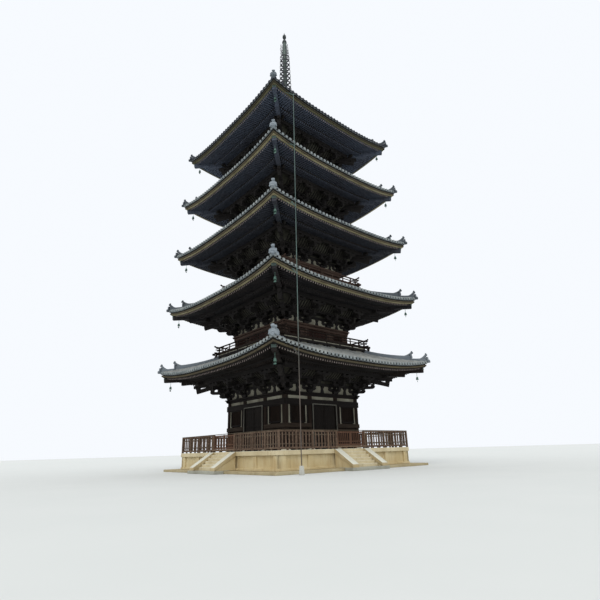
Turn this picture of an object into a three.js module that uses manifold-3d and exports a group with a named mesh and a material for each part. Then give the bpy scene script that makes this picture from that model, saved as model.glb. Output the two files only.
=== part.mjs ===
// Five-storey timber pagoda on a stone platform: millimetres, +Z up, origin at ground level on the axis.
// South is -Y and west is -X. A half-width runs from the axis to the named edge, square to a side.
import * as THREE from "three";
import { mergeVertices } from "three/addons/utils/BufferGeometryUtils.js";
import Module from "manifold-3d";

const wasm = await Module();
wasm.setup();

// Left between neighbouring pieces
const GAP = 0.3;

// Stone platform
const PLATFORM_TOP = 1120;
const LEDGE = { half: 6080, top: 140 };
const PLINTH = { half: 5270, height: 115 };
const WALL_HALF = 5150;
const PILASTER = { half: 5210, width: 340, middle: 3100 };
const CORNER_PILASTER = { from: 4760, half: 5230 };
const COPING = { half: 5280, thickness: 235 };

// Stairs, one on each side
const STAIR = { clear: 950, outer: 1410, steps: 6, run: 200 };
const CHEEK = { foot: 6620, footTop: 330, flat: 60 };
const LANDING = { half: 1500, end: 6700, top: 165, from: 5690 };

// Fence on the platform's edge, with a double gate at each stair
const FENCE = { line: 5205, post: 120, postTop: 1010, bays: [1160, 1800, 2930, 4070, 5205] };
const FENCE_RAILS = [
  { from: 110, to: 260, depth: 100 },
  { from: 890, to: 990, depth: 110 },
];
const GATE = { edge: 1082, bottom: 168, top: 950, thickness: 60, stile: 80, rail: 90, meeting: 5 };
const GATE_BARS = { count: 3, width: 36 };
const GATE_SILL = { half: 1250, from: 5080, top: 160 };
const GATE_PIN = { radius: 18, inset: 30 };

// Heights above the platform and half-widths of storeys 1 to 5
const EAVE_HALF = [6590, 6370, 6150, 5930, 5690];
const EAVE_HEIGHT = [4700, 9250, 13600, 18030, 22300];
const COLUMN_LINE = [2960, 2710, 2500, 2300, 2100];
const INNER_LINE = [1100, 1010, 930, 860, 790];
const PLATE_HEIGHT = [3320, 7750, 12200, 16620, 20880];
const FLOOR_HEIGHT = [300, 6420, 11040, 15360, 19790];
const APEX = { height: 25950, half: 560 };
const STOREYS = EAVE_HALF.length;

// Roof shells and eaves: all heights are above the tile edge at mid-side
const TILE_EDGE = 160;
const ROOF_THICKNESS = 240;
const TILE_OVERHANG = 160;
const ROOF_SAG = 0.2;
const TOP_ROOF_SAG = 0.28;
const CORNER_LIFT = 620;
const LIFT_POWER = 2.8;
const LIFT_FADE = 1.4;
const ALONG_SIDE = [-1, -0.78, -0.45, 0.45, 0.78, 1];
const ROOF_STEPS = [0, 0.4];
const FASCIA_BOTTOM = -170;
const FLYING_RAFTER = { back: 360, end: -270, root: 1350, rootBottom: -120 };
const BASE_RAFTER = { end: -360, slope: 0.288 };
const HIP_BEAM = { root: 850, width: 280, step: 1150, upperDrop: 200, lowerDrop: 230 };
const HIP_BEAM_TIP = { back: 120, top: 380, bottom: 60 };

// Corner ridges on the roofs: two steps, each ending in an ornament
const RIDGE = { width: 300, sink: 90, upperHeight: 380, lowerHeight: 210, clear: 20 };
const RIDGE_STEP = { back: 800, slope: 120, hollow: 320, endBack: 60 };
const UPPER_ORNAMENT = { back: 750, tip: 1430 };
const LOWER_ORNAMENT = { back: -10, tip: 1267 };

// Bells under the corners
const BELL = { back: 590, top: -270, bottom: -560, radius: 115, crown: 0.55, hanger: 30, sides: 6 };

// Bracket sets under the rafters: distances out from the column line, heights above the wall plate
const BRACKET = { width: 190, coreIn: 150, coreOut: 120, purlinIn: 1300, purlinOut: 1460, purlinDepth: 230 };
const BRACKET_STEPS = [
  [200, 0],
  [500, 240],
  [510, 420],
];
const TAIL_RAFTER = { end: 1480, cornerEnd: 1700, bottom: 440, top: 640, shoulder: 1330 };

// Walls of the upper storeys
const UPPER_WALL = { outer: 70, thickness: 220, column: 145, plate: 230, plateDepth: 110 };
const UPPER_SILL = { out: 190, height: 170 };
const UPPER_DOOR = { half: 0.8, sillGap: 20, head: 330 };
const UPPER_WINDOW = { from: 0.3, to: 0.78, sill: 190 };
const LINING = { thickness: 50, height: 60 };

// Verandas of the upper storeys: distances out from the column line, heights above the veranda floor
const VERANDA = { base: 910, floor: 1010, floorDepth: 90, hole: 640, baseDepth: 220, pillarGap: 120 };
const BALUSTER = { width: 80, places: [-0.45, 0.45] };
const TOP_RAIL = { line: 900, end: 1195, from: 580, to: 670, width: 90 };

// Ground storey: heights above the platform
const COLUMN_RADIUS = 180;
const ROUND = 8;
const PANEL = { inner: -80, outer: 80 };
const WINDOW = { from: 1600, to: 2600, bottom: 1640, top: 2500 };
const GROUND_BEAMS = [
  { from: 100, to: 380, out: 200 },
  { from: 1250, to: 1500, out: 185 },
  { from: 2550, to: 2900, out: 200 },
];
const BEAM_BACK = 80;
const HEAD_BEAM = { from: 3100, inner: -150, tieOut: 110, tieDepth: 130, plateOut: 240 };
const HEAD_BEAM_END = { reach: 330, width: 150 };
const DOORWAY = { half: 930, jambHalf: 1070, jambOut: 240, jambIn: -60, sillTop: 380, head: 2550 };
const DOOR = { edge: 910, bottom: 390, top: 2540, front: 170, thickness: 70, meeting: 4 };
const DOOR_PIN = { inset: 36, radius: 24 };

const INNER_COLUMNS = { line: 1100, radius: 170, top: 3300, beamDepth: 260, beamWidth: 200 };
const HEART_PILLAR = { radius: 400, top: 25930 };

// Finial: heights above the platform
const BASIN = { half: 640, top: 26900, band: 700, bandHeight: 160 };
const BOWL = { radius: 560, top: 27450 };
const LOTUS = { foot: 230, radius: 700, top: 28050, rim: 60 };
const MAST_RADIUS = 150;
const RINGS = { count: 9, first: 29050, pitch: 500, outer: 540, inner: 420, height: 190 };
const RING_SPOKE = 70;
const RING_SIDES = 8;
const MAST_TOP = 33250;
const FLAME = { bottom: 33330, top: 34760, reach: 390, thickness: 40 };
const DRAGON_BALL = { centre: 35035, radius: 215 };
const JEWEL = { centre: 35650, radius: 215, tip: 36200 };
const FINIAL_ROUND = 8;

// Lightning conductor: a taut cable held off the eaves, down to a foot on the ground
const CABLE = { radius: 24, out: 250, fromCorner: 1450, below: -150, sides: 6 };
const CABLE_FORK = { prong: 18, clamp: 45, plate: 60, plateDepth: 20, plateDrop: 35 };
const CABLE_FOOT = { half: 100, top: 410 };

// Colours
const TIMBER = { color: 0x2c211b, roughness: 0.85 };
const RED_TIMBER = { color: 0x4a2a1f, roughness: 0.85 };
const TILE = { color: 0x5d646c, roughness: 0.7 };
const STONE = { color: 0xb9a27c, roughness: 0.9 };
const PALE_STONE = { color: 0xc9bca0, roughness: 0.9 };
const FENCE_TIMBER = { color: 0x6d4c41, roughness: 0.9 };
const BRONZE = { color: 0x3c4740, roughness: 0.55, metalness: 0.7 };
const CABLE_METAL = { color: 0x4f6a60, roughness: 0.6, metalness: 0.5 };

const pagoda = new THREE.Group();
pagoda.name = "pagoda";

// A closed geometry as a solid that can be joined and cut
function solid(geometry) {
  const bare = geometry.index ? geometry.toNonIndexed() : geometry.clone();
  bare.deleteAttribute("normal");
  bare.deleteAttribute("uv");
  const merged = mergeVertices(bare, 1e-3);
  return new wasm.Manifold(
    new wasm.Mesh({
      numProp: 3,
      vertProperties: merged.getAttribute("position").array,
      triVerts: new Uint32Array(merged.index.array),
    }),
  );
}

function join(geometries) {
  return geometries.map(solid).reduce((whole, next) => whole.add(next));
}

function cut(whole, geometries) {
  return geometries.map(solid).reduce((rest, next) => rest.subtract(next), whole);
}

function add(name, whole, look) {
  const mesh = whole.getMesh();
  const geometry = new THREE.BufferGeometry();
  geometry.setAttribute("position", new THREE.BufferAttribute(new Float32Array(mesh.vertProperties), 3));
  geometry.setIndex(new THREE.BufferAttribute(new Uint32Array(mesh.triVerts), 1));
  geometry.computeVertexNormals();
  const piece = new THREE.Mesh(geometry, new THREE.MeshStandardMaterial(look));
  piece.name = name;
  pagoda.add(piece);
}

function block(x, y, z) {
  const box = new THREE.BoxGeometry(x[1] - x[0], y[1] - y[0], z[1] - z[0]);
  return box.translate((x[0] + x[1]) / 2, (y[0] + y[1]) / 2, (z[0] + z[1]) / 2);
}

// A block on the south side: x along the side, out = [near, far] from the axis
function southBlock(x, out, z) {
  return block(x, [-out[1], -out[0]], z);
}

function turn(geometry, quarters) {
  return geometry.clone().rotateZ((quarters * Math.PI) / 2);
}

function onFourSides(geometries) {
  return [0, 1, 2, 3].flatMap((quarter) => geometries.map((geometry) => turn(geometry, quarter)));
}

function roundPost(x, y, z, radius, sides = ROUND) {
  const post = new THREE.CylinderGeometry(radius, radius, z[1] - z[0], sides);
  return post.rotateX(Math.PI / 2).translate(x, y, (z[0] + z[1]) / 2);
}

// An outline in (distance out, height), as thick as width, standing on the south side at x
function uprightPlate(points, width, x = 0) {
  const outline = new THREE.Shape(points.map(([out, z]) => new THREE.Vector2(out, z)));
  const plate = new THREE.ExtrudeGeometry(outline, { depth: width, bevelEnabled: false });
  plate.translate(0, 0, -width / 2);
  const southward = new THREE.Matrix4().makeBasis(
    new THREE.Vector3(0, -1, 0),
    new THREE.Vector3(0, 0, 1),
    new THREE.Vector3(-1, 0, 0),
  );
  return plate.applyMatrix4(southward).translate(x, 0, 0);
}

// The same outline on the four diagonals, with distances given as half-widths
function cornerPlates(points, width) {
  const diagonal = points.map(([half, z]) => [half * Math.SQRT2, z]);
  const plate = uprightPlate(diagonal, width).rotateZ(Math.PI / 4);
  return onFourSides([plate]);
}

function turned(profile, sides) {
  const points = profile.map(([radius, z]) => new THREE.Vector2(radius, z));
  return new THREE.LatheGeometry(points, sides).rotateX(Math.PI / 2);
}

// Where a ring's station has its points along one side: only at the corners where nothing lifts it
function alongSide(station) {
  return station.lift > 0 ? ALONG_SIDE : [-1, 1];
}

function ringPoint(station, u, side) {
  const z = station.z + station.lift * Math.abs(u) ** LIFT_POWER;
  const [x, y] = [u * station.out, -station.out];
  const [turnedX, turnedY] = [
    [x, y],
    [-y, x],
    [-x, -y],
    [y, -x],
  ][side];
  return [turnedX, turnedY, z];
}

// Triangles between two stations along one side, the same whichever way the outline runs
function ringStrip(from, to, side) {
  const outward = from.out < to.out || (from.out === to.out && from.z < to.z);
  const [near, far] = outward ? [from, to] : [to, from];
  const [nearU, farU] = [alongSide(near), alongSide(far)];
  const faces = [];
  let [i, j] = [0, 0];
  while (i < nearU.length - 1 || j < farU.length - 1) {
    const nearMiddle = i < nearU.length - 1 ? (nearU[i] + nearU[i + 1]) / 2 : Infinity;
    const farMiddle = j < farU.length - 1 ? (farU[j] + farU[j + 1]) / 2 : Infinity;
    const takeFar = farMiddle < nearMiddle || (farMiddle === nearMiddle && farMiddle < 0);
    const a = ringPoint(near, nearU[i], side);
    const b = ringPoint(far, farU[j], side);
    const c = takeFar ? ringPoint(far, farU[j + 1], side) : ringPoint(near, nearU[i + 1], side);
    faces.push(...(outward ? [a, c, b] : [a, b, c]).flat());
    if (takeFar) j += 1;
    else i += 1;
  }
  return faces;
}

// A closed outline of stations { out, z, lift } carried round the four sides and mitred at the corners
function squareRing(outline) {
  const area = outline.reduce((sum, here, k) => {
    const next = outline[(k + 1) % outline.length];
    return sum + here.out * next.z - next.out * here.z;
  }, 0);
  const stations = area > 0 ? outline : [...outline].reverse();
  const positions = [];
  for (let side = 0; side < 4; side += 1) {
    stations.forEach((here, k) => {
      positions.push(...ringStrip(here, stations[(k + 1) % stations.length], side));
    });
  }
  const ring = new THREE.BufferGeometry();
  ring.setAttribute("position", new THREE.BufferAttribute(new Float32Array(positions), 3));
  return ring;
}

function flatRing(inner, outer, z) {
  const level = (out, height) => ({ out, z: height, lift: 0 });
  return squareRing([level(inner, z[0]), level(outer, z[0]), level(outer, z[1]), level(inner, z[1])]);
}

// Everything that one storey's roof, eaves, brackets and walls are worked out from
function storeyPlan(index) {
  const top = index === STOREYS - 1;
  const eave = EAVE_HALF[index];
  const tileEdge = PLATFORM_TOP + EAVE_HEIGHT[index];
  const column = COLUMN_LINE[index];
  const inner = column - BRACKET.coreIn;
  const shoulder = top ? APEX.half : COLUMN_LINE[index + 1] + VERANDA.base;
  const crown = PLATFORM_TOP + (top ? APEX.height : FLOOR_HEIGHT[index + 1] - VERANDA.baseDepth);
  const sag = top ? TOP_ROOF_SAG : ROOF_SAG;
  const liftFrom = top ? column + VERANDA.base : shoulder;
  const roofTop = (out) => {
    const along = Math.min(1, (eave - out) / (eave - shoulder));
    const rise = crown - tileEdge - TILE_EDGE;
    return tileEdge + TILE_EDGE + rise * ((1 - sag) * along + sag * along * along);
  };
  const lift = (out) => CORNER_LIFT * Math.max(0, (out - liftFrom) / (eave - liftFrom)) ** LIFT_FADE;
  const rafterEnd = eave - FLYING_RAFTER.root;
  const baseRafter = (out) => tileEdge + BASE_RAFTER.end + (rafterEnd - out) * BASE_RAFTER.slope;
  return {
    top, eave, tileEdge, column, inner, shoulder, crown, roofTop, lift, rafterEnd, baseRafter,
    plate: PLATFORM_TOP + PLATE_HEIGHT[index],
    floor: PLATFORM_TOP + FLOOR_HEIGHT[index],
    innerLine: INNER_LINE[index],
  };
}

function station(plan, out, z) {
  return { out, z, lift: plan.lift(out) };
}

// Radii at which the roof shell and the top of the eaves bend
function roofBends(plan) {
  const bends = ROOF_STEPS.map((step) => plan.eave - step * (plan.eave - plan.shoulder));
  return plan.top ? [...bends, plan.inner, plan.shoulder] : [...bends, plan.shoulder, plan.inner];
}

function boardTop(plan, out) {
  return plan.roofTop(out) - ROOF_THICKNESS;
}

function roofShell(plan) {
  const bends = roofBends(plan);
  const above = bends.map((out) => station(plan, out, plan.roofTop(out)));
  const under = bends
    .map((out, k) => (k === 0 ? out - TILE_OVERHANG : out))
    .map((out) => station(plan, out, boardTop(plan, out) + GAP));
  const edge = station(plan, plan.eave, plan.tileEdge);
  return squareRing([edge, ...above, ...under.reverse()]);
}

function cornerLine(plan, out, above) {
  return [out, plan.roofTop(out) + plan.lift(out) + above];
}

// One ridge down each corner: high as far as its first ornament, then low out to the second one
function cornerRidges(plan) {
  const { eave } = plan;
  const edge = plan.top ? BASIN.band : plan.shoulder + VERANDA.floor - VERANDA.base;
  const start = edge + RIDGE.clear;
  const step = eave - RIDGE_STEP.back;
  const upperTip = plan.tileEdge + UPPER_ORNAMENT.tip;
  const lowerTip = plan.tileEdge + LOWER_ORNAMENT.tip;
  const outline = [
    cornerLine(plan, start, -RIDGE.sink),
    cornerLine(plan, start, RIDGE.upperHeight),
    cornerLine(plan, step, RIDGE.upperHeight),
    [eave - UPPER_ORNAMENT.back, upperTip],
    cornerLine(plan, step + RIDGE_STEP.slope, RIDGE.lowerHeight),
    cornerLine(plan, eave - RIDGE_STEP.hollow, RIDGE.lowerHeight),
    [eave - LOWER_ORNAMENT.back, lowerTip],
    cornerLine(plan, eave - RIDGE_STEP.endBack, -RIDGE.sink),
    cornerLine(plan, step, -RIDGE.sink),
  ].reverse();
  return cornerPlates(outline, RIDGE.width);
}

function eavesShell(plan) {
  const { eave, tileEdge } = plan;
  const bends = roofBends(plan).filter((out) => out >= plan.inner);
  const above = bends
    .map((out, k) => (k === 0 ? out - TILE_OVERHANG : out))
    .map((out) => station(plan, out, boardTop(plan, out)));
  const under = [
    station(plan, plan.inner, plan.baseRafter(plan.inner)),
    station(plan, plan.rafterEnd, tileEdge + BASE_RAFTER.end),
    station(plan, plan.rafterEnd, tileEdge + FLYING_RAFTER.rootBottom),
    station(plan, eave - FLYING_RAFTER.back, tileEdge + FLYING_RAFTER.end),
    station(plan, eave - TILE_OVERHANG, tileEdge + FASCIA_BOTTOM),
  ];
  return squareRing([...above, ...under]);
}

// The underside of a corner beam, from its root by the wall to the step under its end
function hipUnderside(plan, drop) {
  const root = plan.column + HIP_BEAM.root;
  const step = plan.eave - HIP_BEAM.step;
  return [
    [root, plan.baseRafter(root) + plan.lift(root) - drop],
    [step, plan.tileEdge + BASE_RAFTER.end + plan.lift(step) - drop],
  ];
}

function hipBeams(plan) {
  const { eave, tileEdge } = plan;
  const tip = eave - HIP_BEAM_TIP.back;
  const [root, step] = hipUnderside(plan, HIP_BEAM.lowerDrop);
  return cornerPlates(
    [
      [root[0], root[1] + HIP_BEAM.lowerDrop + 60],
      root,
      step,
      [step[0], tileEdge + FLYING_RAFTER.rootBottom + plan.lift(step[0]) - HIP_BEAM.upperDrop],
      [tip, tileEdge + HIP_BEAM_TIP.bottom],
      [tip, tileEdge + HIP_BEAM_TIP.top],
    ],
    HIP_BEAM.width,
  );
}

function cornerBells(plan) {
  const at = plan.eave - BELL.back;
  const top = plan.tileEdge + BELL.top;
  const bottom = plan.tileEdge + BELL.bottom;
  const profile = [[0, bottom], [BELL.radius, bottom], [BELL.radius * BELL.crown, top], [0, top]];
  const body = turned(profile, BELL.sides).translate(at, -at, 0);
  const hanger = block(
    [at - BELL.hanger / 2, at + BELL.hanger / 2],
    [-at - BELL.hanger / 2, -at + BELL.hanger / 2],
    [top - 20, plan.tileEdge + HIP_BEAM_TIP.top],
  );
  return onFourSides([body, hanger]);
}

// Outline of one bracket set: steps out under the purlin, and runs up into the rafters
function bracketOutline(plan, tailEnd) {
  const { column, plate } = plan;
  const foot = plate + GAP;
  const top = plan.baseRafter(column) + 200;
  return [
    [column - BRACKET.coreIn / 2, foot],
    ...BRACKET_STEPS.map(([out, up]) => [column + out, foot + up]),
    [column + tailEnd, plate + TAIL_RAFTER.bottom],
    [column + tailEnd, plate + TAIL_RAFTER.top],
    [column + TAIL_RAFTER.shoulder, top],
    [column - BRACKET.coreIn / 2, top],
  ];
}

// The space from the rafters' underside upward, lowered by the gap
function aboveRafters(plan) {
  const { tileEdge, inner, rafterEnd } = plan;
  const roof = plan.crown + ROOF_THICKNESS;
  const inward = inner - 50;
  const surface = (out, z) => ({ out, z: z - GAP, lift: plan.lift(out) });
  return squareRing([
    surface(inward, plan.baseRafter(inner)),
    surface(inner, plan.baseRafter(inner)),
    surface(rafterEnd, tileEdge + BASE_RAFTER.end),
    surface(rafterEnd, roof),
    surface(inward, roof),
  ]);
}

// The corner beams' own room, so that the bracket sets clear them
function aroundHipBeams(plan) {
  const [root, step] = hipUnderside(plan, HIP_BEAM.lowerDrop + GAP);
  const rise = 900;
  const inward = root[0] - GAP;
  return cornerPlates(
    [[inward, root[1] + rise], [inward, root[1]], root, step, [step[0], step[1] + rise]],
    HIP_BEAM.width + 2 * GAP,
  );
}

function bracketRing(plan) {
  const { column, plate } = plan;
  const high = plan.baseRafter(column) + 300;
  const core = flatRing(column - BRACKET.coreIn, column + BRACKET.coreOut, [plate + GAP, high]);
  const purlinTop = plan.baseRafter(column + BRACKET.purlinIn) + 120;
  const purlin = flatRing(
    column + BRACKET.purlinIn,
    column + BRACKET.purlinOut,
    [plan.baseRafter(column + BRACKET.purlinOut) - BRACKET.purlinDepth, purlinTop],
  );
  const outline = bracketOutline(plan, TAIL_RAFTER.end);
  const sets = [-plan.innerLine, plan.innerLine].map((x) => uprightPlate(outline, BRACKET.width, x));
  const corners = cornerPlates(bracketOutline(plan, TAIL_RAFTER.cornerEnd), BRACKET.width);
  const whole = join([core, purlin, ...onFourSides(sets), ...corners]);
  return cut(whole, [aboveRafters(plan), ...aroundHipBeams(plan)]);
}

function upperWalls(plan) {
  const { column, plate } = plan;
  const floor = plan.floor + GAP;
  const face = column + UPPER_WALL.outer;
  const tube = flatRing(face - UPPER_WALL.thickness, face, [floor, plate]);
  const sill = flatRing(column, column + UPPER_SILL.out, [floor, floor + UPPER_SILL.height]);
  const wallPlate = flatRing(column - 60, column + UPPER_WALL.plate, [plate - UPPER_WALL.plateDepth, plate]);
  const between = [floor + UPPER_SILL.height - 10, plate - UPPER_WALL.plateDepth + 10];
  const columns = [-plan.innerLine, plan.innerLine, column].map((x) =>
    roundPost(x, -column, between, UPPER_WALL.column),
  );
  const whole = join([tube, sill, wallPlate, ...onFourSides(columns)]);
  const head = plate - UPPER_DOOR.head;
  const through = [face - UPPER_WALL.thickness - 50, face + 200];
  const door = southBlock(
    [-UPPER_DOOR.half * plan.innerLine, UPPER_DOOR.half * plan.innerLine],
    through,
    [floor + UPPER_SILL.height + UPPER_DOOR.sillGap, head],
  );
  const bay = column - plan.innerLine;
  const windows = [-1, 1].map((side) => {
    const { from, to } = UPPER_WINDOW;
    const ends = [from, to].map((share) => plan.innerLine + share * bay);
    const x = side < 0 ? [-ends[1], -ends[0]] : ends;
    return southBlock(x, through, [floor + UPPER_SILL.height + UPPER_WINDOW.sill, head]);
  });
  return cut(whole, onFourSides([door, ...windows]));
}

// Board lining that stands behind the openings of one upper storey
function upperLining(plan) {
  const outer = plan.column + UPPER_WALL.outer - UPPER_WALL.thickness - GAP;
  const z = [plan.floor + GAP, plan.plate - LINING.height];
  return join([flatRing(outer - LINING.thickness, outer, z)]);
}

function veranda(plan) {
  const { column, floor } = plan;
  const base = flatRing(
    column - VERANDA.hole,
    column + VERANDA.base - 1,
    [floor - VERANDA.baseDepth + GAP, floor - VERANDA.floorDepth + 1],
  );
  const deckInner = HEART_PILLAR.radius + VERANDA.pillarGap;
  const deck = flatRing(deckInner, column + VERANDA.floor, [floor - VERANDA.floorDepth, floor]);
  const line = column + TOP_RAIL.line;
  const end = column + TOP_RAIL.end;
  const around = (rail) => [line - rail.width / 2, line + rail.width / 2];
  const topRail = southBlock([-end, end], around(TOP_RAIL), [floor + TOP_RAIL.from, floor + TOP_RAIL.to]);
  const places = [...BALUSTER.places.map((share) => share * line), line];
  const posts = places.map((x) =>
    southBlock(
      [x - BALUSTER.width / 2, x + BALUSTER.width / 2],
      [line - BALUSTER.width / 2, line + BALUSTER.width / 2],
      [floor - 10, floor + TOP_RAIL.from + 20],
    ),
  );
  return join([base, deck, ...onFourSides([topRail, ...posts])]);
}

function platformPieces() {
  const { half, top } = LEDGE;
  add("platform_ledge", join([block([-half, half], [-half, half], [0, top])]), PALE_STONE);
  const foot = top + GAP;
  const underCoping = PLATFORM_TOP - COPING.thickness - GAP;
  const core = block([-WALL_HALF, WALL_HALF], [-WALL_HALF, WALL_HALF], [foot, underCoping]);
  const plinth = block(
    [-PLINTH.half, PLINTH.half],
    [-PLINTH.half, PLINTH.half],
    [foot, foot + PLINTH.height],
  );
  const pilasters = [-PILASTER.middle, PILASTER.middle].map((x) =>
    southBlock(
      [x - PILASTER.width / 2, x + PILASTER.width / 2],
      [WALL_HALF - 100, PILASTER.half],
      [foot, underCoping],
    ),
  );
  const corner = southBlock(
    [CORNER_PILASTER.from, CORNER_PILASTER.half],
    [CORNER_PILASTER.from, CORNER_PILASTER.half],
    [foot, underCoping],
  );
  add("platform_wall", join([core, plinth, ...onFourSides([...pilasters, corner])]), STONE);
  const coping = block(
    [-COPING.half, COPING.half],
    [-COPING.half, COPING.half],
    [PLATFORM_TOP - COPING.thickness, PLATFORM_TOP],
  );
  add("platform_coping", join([coping]), PALE_STONE);
}

// One flight with its two cheeks, standing on the ledge and past it on the ground
function stairFlight() {
  const start = COPING.half + GAP;
  const onLedge = LEDGE.top + GAP;
  const pastLedge = LEDGE.half + GAP;
  const rise = PLATFORM_TOP / (STAIR.steps + 1);
  const treads = [...Array(STAIR.steps).keys()].map((step) => {
    const far = start + (step + 1) * STAIR.run;
    const bottom = far > pastLedge ? LANDING.top - 10 : onLedge;
    const z = [bottom, PLATFORM_TOP - (step + 1) * rise];
    return southBlock([-STAIR.clear - 20, STAIR.clear + 20], [start, far], z);
  });
  const slope = [
    [start, PLATFORM_TOP],
    [start + CHEEK.flat, PLATFORM_TOP],
    [CHEEK.foot, CHEEK.footTop],
    [CHEEK.foot, LANDING.top - 10],
    [pastLedge, LANDING.top - 10],
    [pastLedge, onLedge],
    [start, onLedge],
  ].reverse();
  const width = STAIR.outer - STAIR.clear;
  const cheeks = [-1, 1].map((side) => uprightPlate(slope, width, side * (STAIR.clear + width / 2)));
  const across = [-LANDING.half, LANDING.half];
  const landing = southBlock(across, [pastLedge, LANDING.end], [0, LANDING.top]);
  const reach = southBlock(across, [LANDING.from, pastLedge + 10], [onLedge, LANDING.top]);
  return [...treads, ...cheeks, landing, reach];
}

// The fence on one side of the south gate: side is 1 to the east of it and -1 to the west
function fenceRun(side, ownsCorner) {
  const { line, post } = FENCE;
  const posts = ownsCorner ? FENCE.bays : FENCE.bays.slice(0, -1);
  const last = ownsCorner ? line : line - post / 2 - GAP;
  const span = (from, to) => (side < 0 ? [-to, -from] : [from, to]);
  const uprights = posts.map((x) =>
    southBlock(
      span(x - post / 2, x + post / 2),
      [line - post / 2, line + post / 2],
      [PLATFORM_TOP + GAP, PLATFORM_TOP + FENCE.postTop],
    ),
  );
  const rails = FENCE_RAILS.map((rail) =>
    southBlock(
      span(FENCE.bays[0], last),
      [line - rail.depth / 2, line + rail.depth / 2],
      [PLATFORM_TOP + rail.from, PLATFORM_TOP + rail.to],
    ),
  );
  return [...uprights, ...rails];
}

function gateSill(half) {
  const z = [PLATFORM_TOP + GAP, PLATFORM_TOP + GATE_SILL.top];
  return southBlock([-half, half], [GATE_SILL.from, COPING.half], z);
}

// One leaf of a fence gate on the south side, east of the middle
function gateLeaf() {
  const { line } = FENCE;
  const out = [line - GATE.thickness / 2, line + GATE.thickness / 2];
  const bottom = PLATFORM_TOP + GATE.bottom;
  const top = PLATFORM_TOP + GATE.top;
  const from = GATE.meeting;
  const stiles = [
    southBlock([from, from + GATE.stile], out, [bottom, top]),
    southBlock([GATE.edge - GATE.stile, GATE.edge], out, [bottom, top]),
  ];
  const rails = [bottom, top - GATE.rail].map((z) =>
    southBlock([from + 10, GATE.edge - 10], out, [z, z + GATE.rail]),
  );
  const spacing = (GATE.edge - from) / (GATE_BARS.count + 1);
  const half = GATE_BARS.width / 2;
  const bars = [...Array(GATE_BARS.count).keys()].map((k) => {
    const x = from + spacing * (k + 1);
    return southBlock([x - half, x + half], [line - half, line + half], [bottom + 10, top - 10]);
  });
  const pin = roundPost(
    GATE.edge - GATE_PIN.inset,
    -line,
    [PLATFORM_TOP + GATE_SILL.top + GAP, bottom + 20],
    GATE_PIN.radius,
  );
  return [...stiles, ...rails, ...bars, pin];
}

// A gate that stays shut: its two leaves as one frame between the posts
function closedGate() {
  const { line } = FENCE;
  const out = [line - GATE.thickness / 2, line + GATE.thickness / 2];
  const bottom = PLATFORM_TOP + GATE.bottom;
  const top = PLATFORM_TOP + GATE.top;
  const reach = FENCE.bays[0];
  const rails = [bottom, top - GATE.rail].map((z) => southBlock([-reach, reach], out, [z, z + GATE.rail]));
  return [...rails, southBlock([-GATE.stile, GATE.stile], out, [bottom + 10, top - 10])];
}

function mirrorX(geometries) {
  return geometries.map((geometry) => {
    const flipped = geometry.index ? geometry.toNonIndexed() : geometry.clone();
    flipped.scale(-1, 1, 1);
    const { array } = flipped.getAttribute("position");
    for (let i = 0; i < array.length; i += 9) {
      for (let k = 0; k < 3; k += 1) {
        [array[i + 3 + k], array[i + 6 + k]] = [array[i + 6 + k], array[i + 3 + k]];
      }
    }
    return flipped;
  });
}

// One corner of the ground storey, from door column to door column: here the south-east one
function cornerWall() {
  const column = COLUMN_LINE[0];
  const inner = INNER_LINE[0];
  const foot = PLATFORM_TOP + GAP;
  const top = PLATFORM_TOP + HEAD_BEAM.from - GAP;
  const columns = [[inner, -column], [column, -column], [column, -inner]].map(([x, y]) =>
    roundPost(x, y, [foot, top], COLUMN_RADIUS),
  );
  const arm = [
    southBlock([inner, column], [column + PANEL.inner, column + PANEL.outer], [foot + 100, top]),
    ...GROUND_BEAMS.map((beam) =>
      southBlock(
        [DOORWAY.half, column + beam.out],
        [column - BEAM_BACK, column + beam.out],
        [PLATFORM_TOP + beam.from, PLATFORM_TOP + beam.to],
      ),
    ),
    southBlock(
      [DOORWAY.half, DOORWAY.jambHalf],
      [column + DOORWAY.jambIn, column + DOORWAY.jambOut],
      [PLATFORM_TOP + 100, PLATFORM_TOP + DOORWAY.head + 10],
    ),
  ];
  const otherArm = mirrorX(arm).map((geometry) => turn(geometry, 1));
  const clearDoorway = southBlock([0, DOORWAY.half], [column - 400, column + 400], [PLATFORM_TOP, top + 100]);
  const openings = [
    southBlock(
      [WINDOW.from, WINDOW.to],
      [column - 300, column + 300],
      [PLATFORM_TOP + WINDOW.bottom, PLATFORM_TOP + WINDOW.top],
    ),
    clearDoorway,
  ];
  const otherOpenings = mirrorX(openings).map((geometry) => turn(geometry, 1));
  return cut(join([...columns, ...arm, ...otherArm]), [...openings, ...otherOpenings]);
}

function headBeams() {
  const column = COLUMN_LINE[0];
  const plate = PLATFORM_TOP + PLATE_HEIGHT[0];
  const bottom = PLATFORM_TOP + HEAD_BEAM.from;
  const tieTop = bottom + HEAD_BEAM.tieDepth;
  const tie = flatRing(column + HEAD_BEAM.inner, column + HEAD_BEAM.tieOut, [bottom, tieTop + 10]);
  const flat = flatRing(column + HEAD_BEAM.inner, column + HEAD_BEAM.plateOut, [tieTop, plate]);
  const end = column + HEAD_BEAM_END.reach;
  const crossing = southBlock(
    [-end, end],
    [column - HEAD_BEAM_END.width / 2, column + HEAD_BEAM_END.width / 2],
    [bottom, tieTop + 10],
  );
  const upperBeam = GROUND_BEAMS[GROUND_BEAMS.length - 1];
  const foot = PLATFORM_TOP + upperBeam.from;
  const beamHeight = upperBeam.to - upperBeam.from;
  const reach = DOORWAY.half - GAP;
  const overDoor = [
    southBlock([-reach, reach], [column + PANEL.inner, column + PANEL.outer], [foot, bottom + 10]),
    southBlock([-reach, reach], [column - BEAM_BACK, column + upperBeam.out], [foot, foot + beamHeight]),
  ];
  return join([tie, flat, ...onFourSides([crossing, ...overDoor])]);
}

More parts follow.
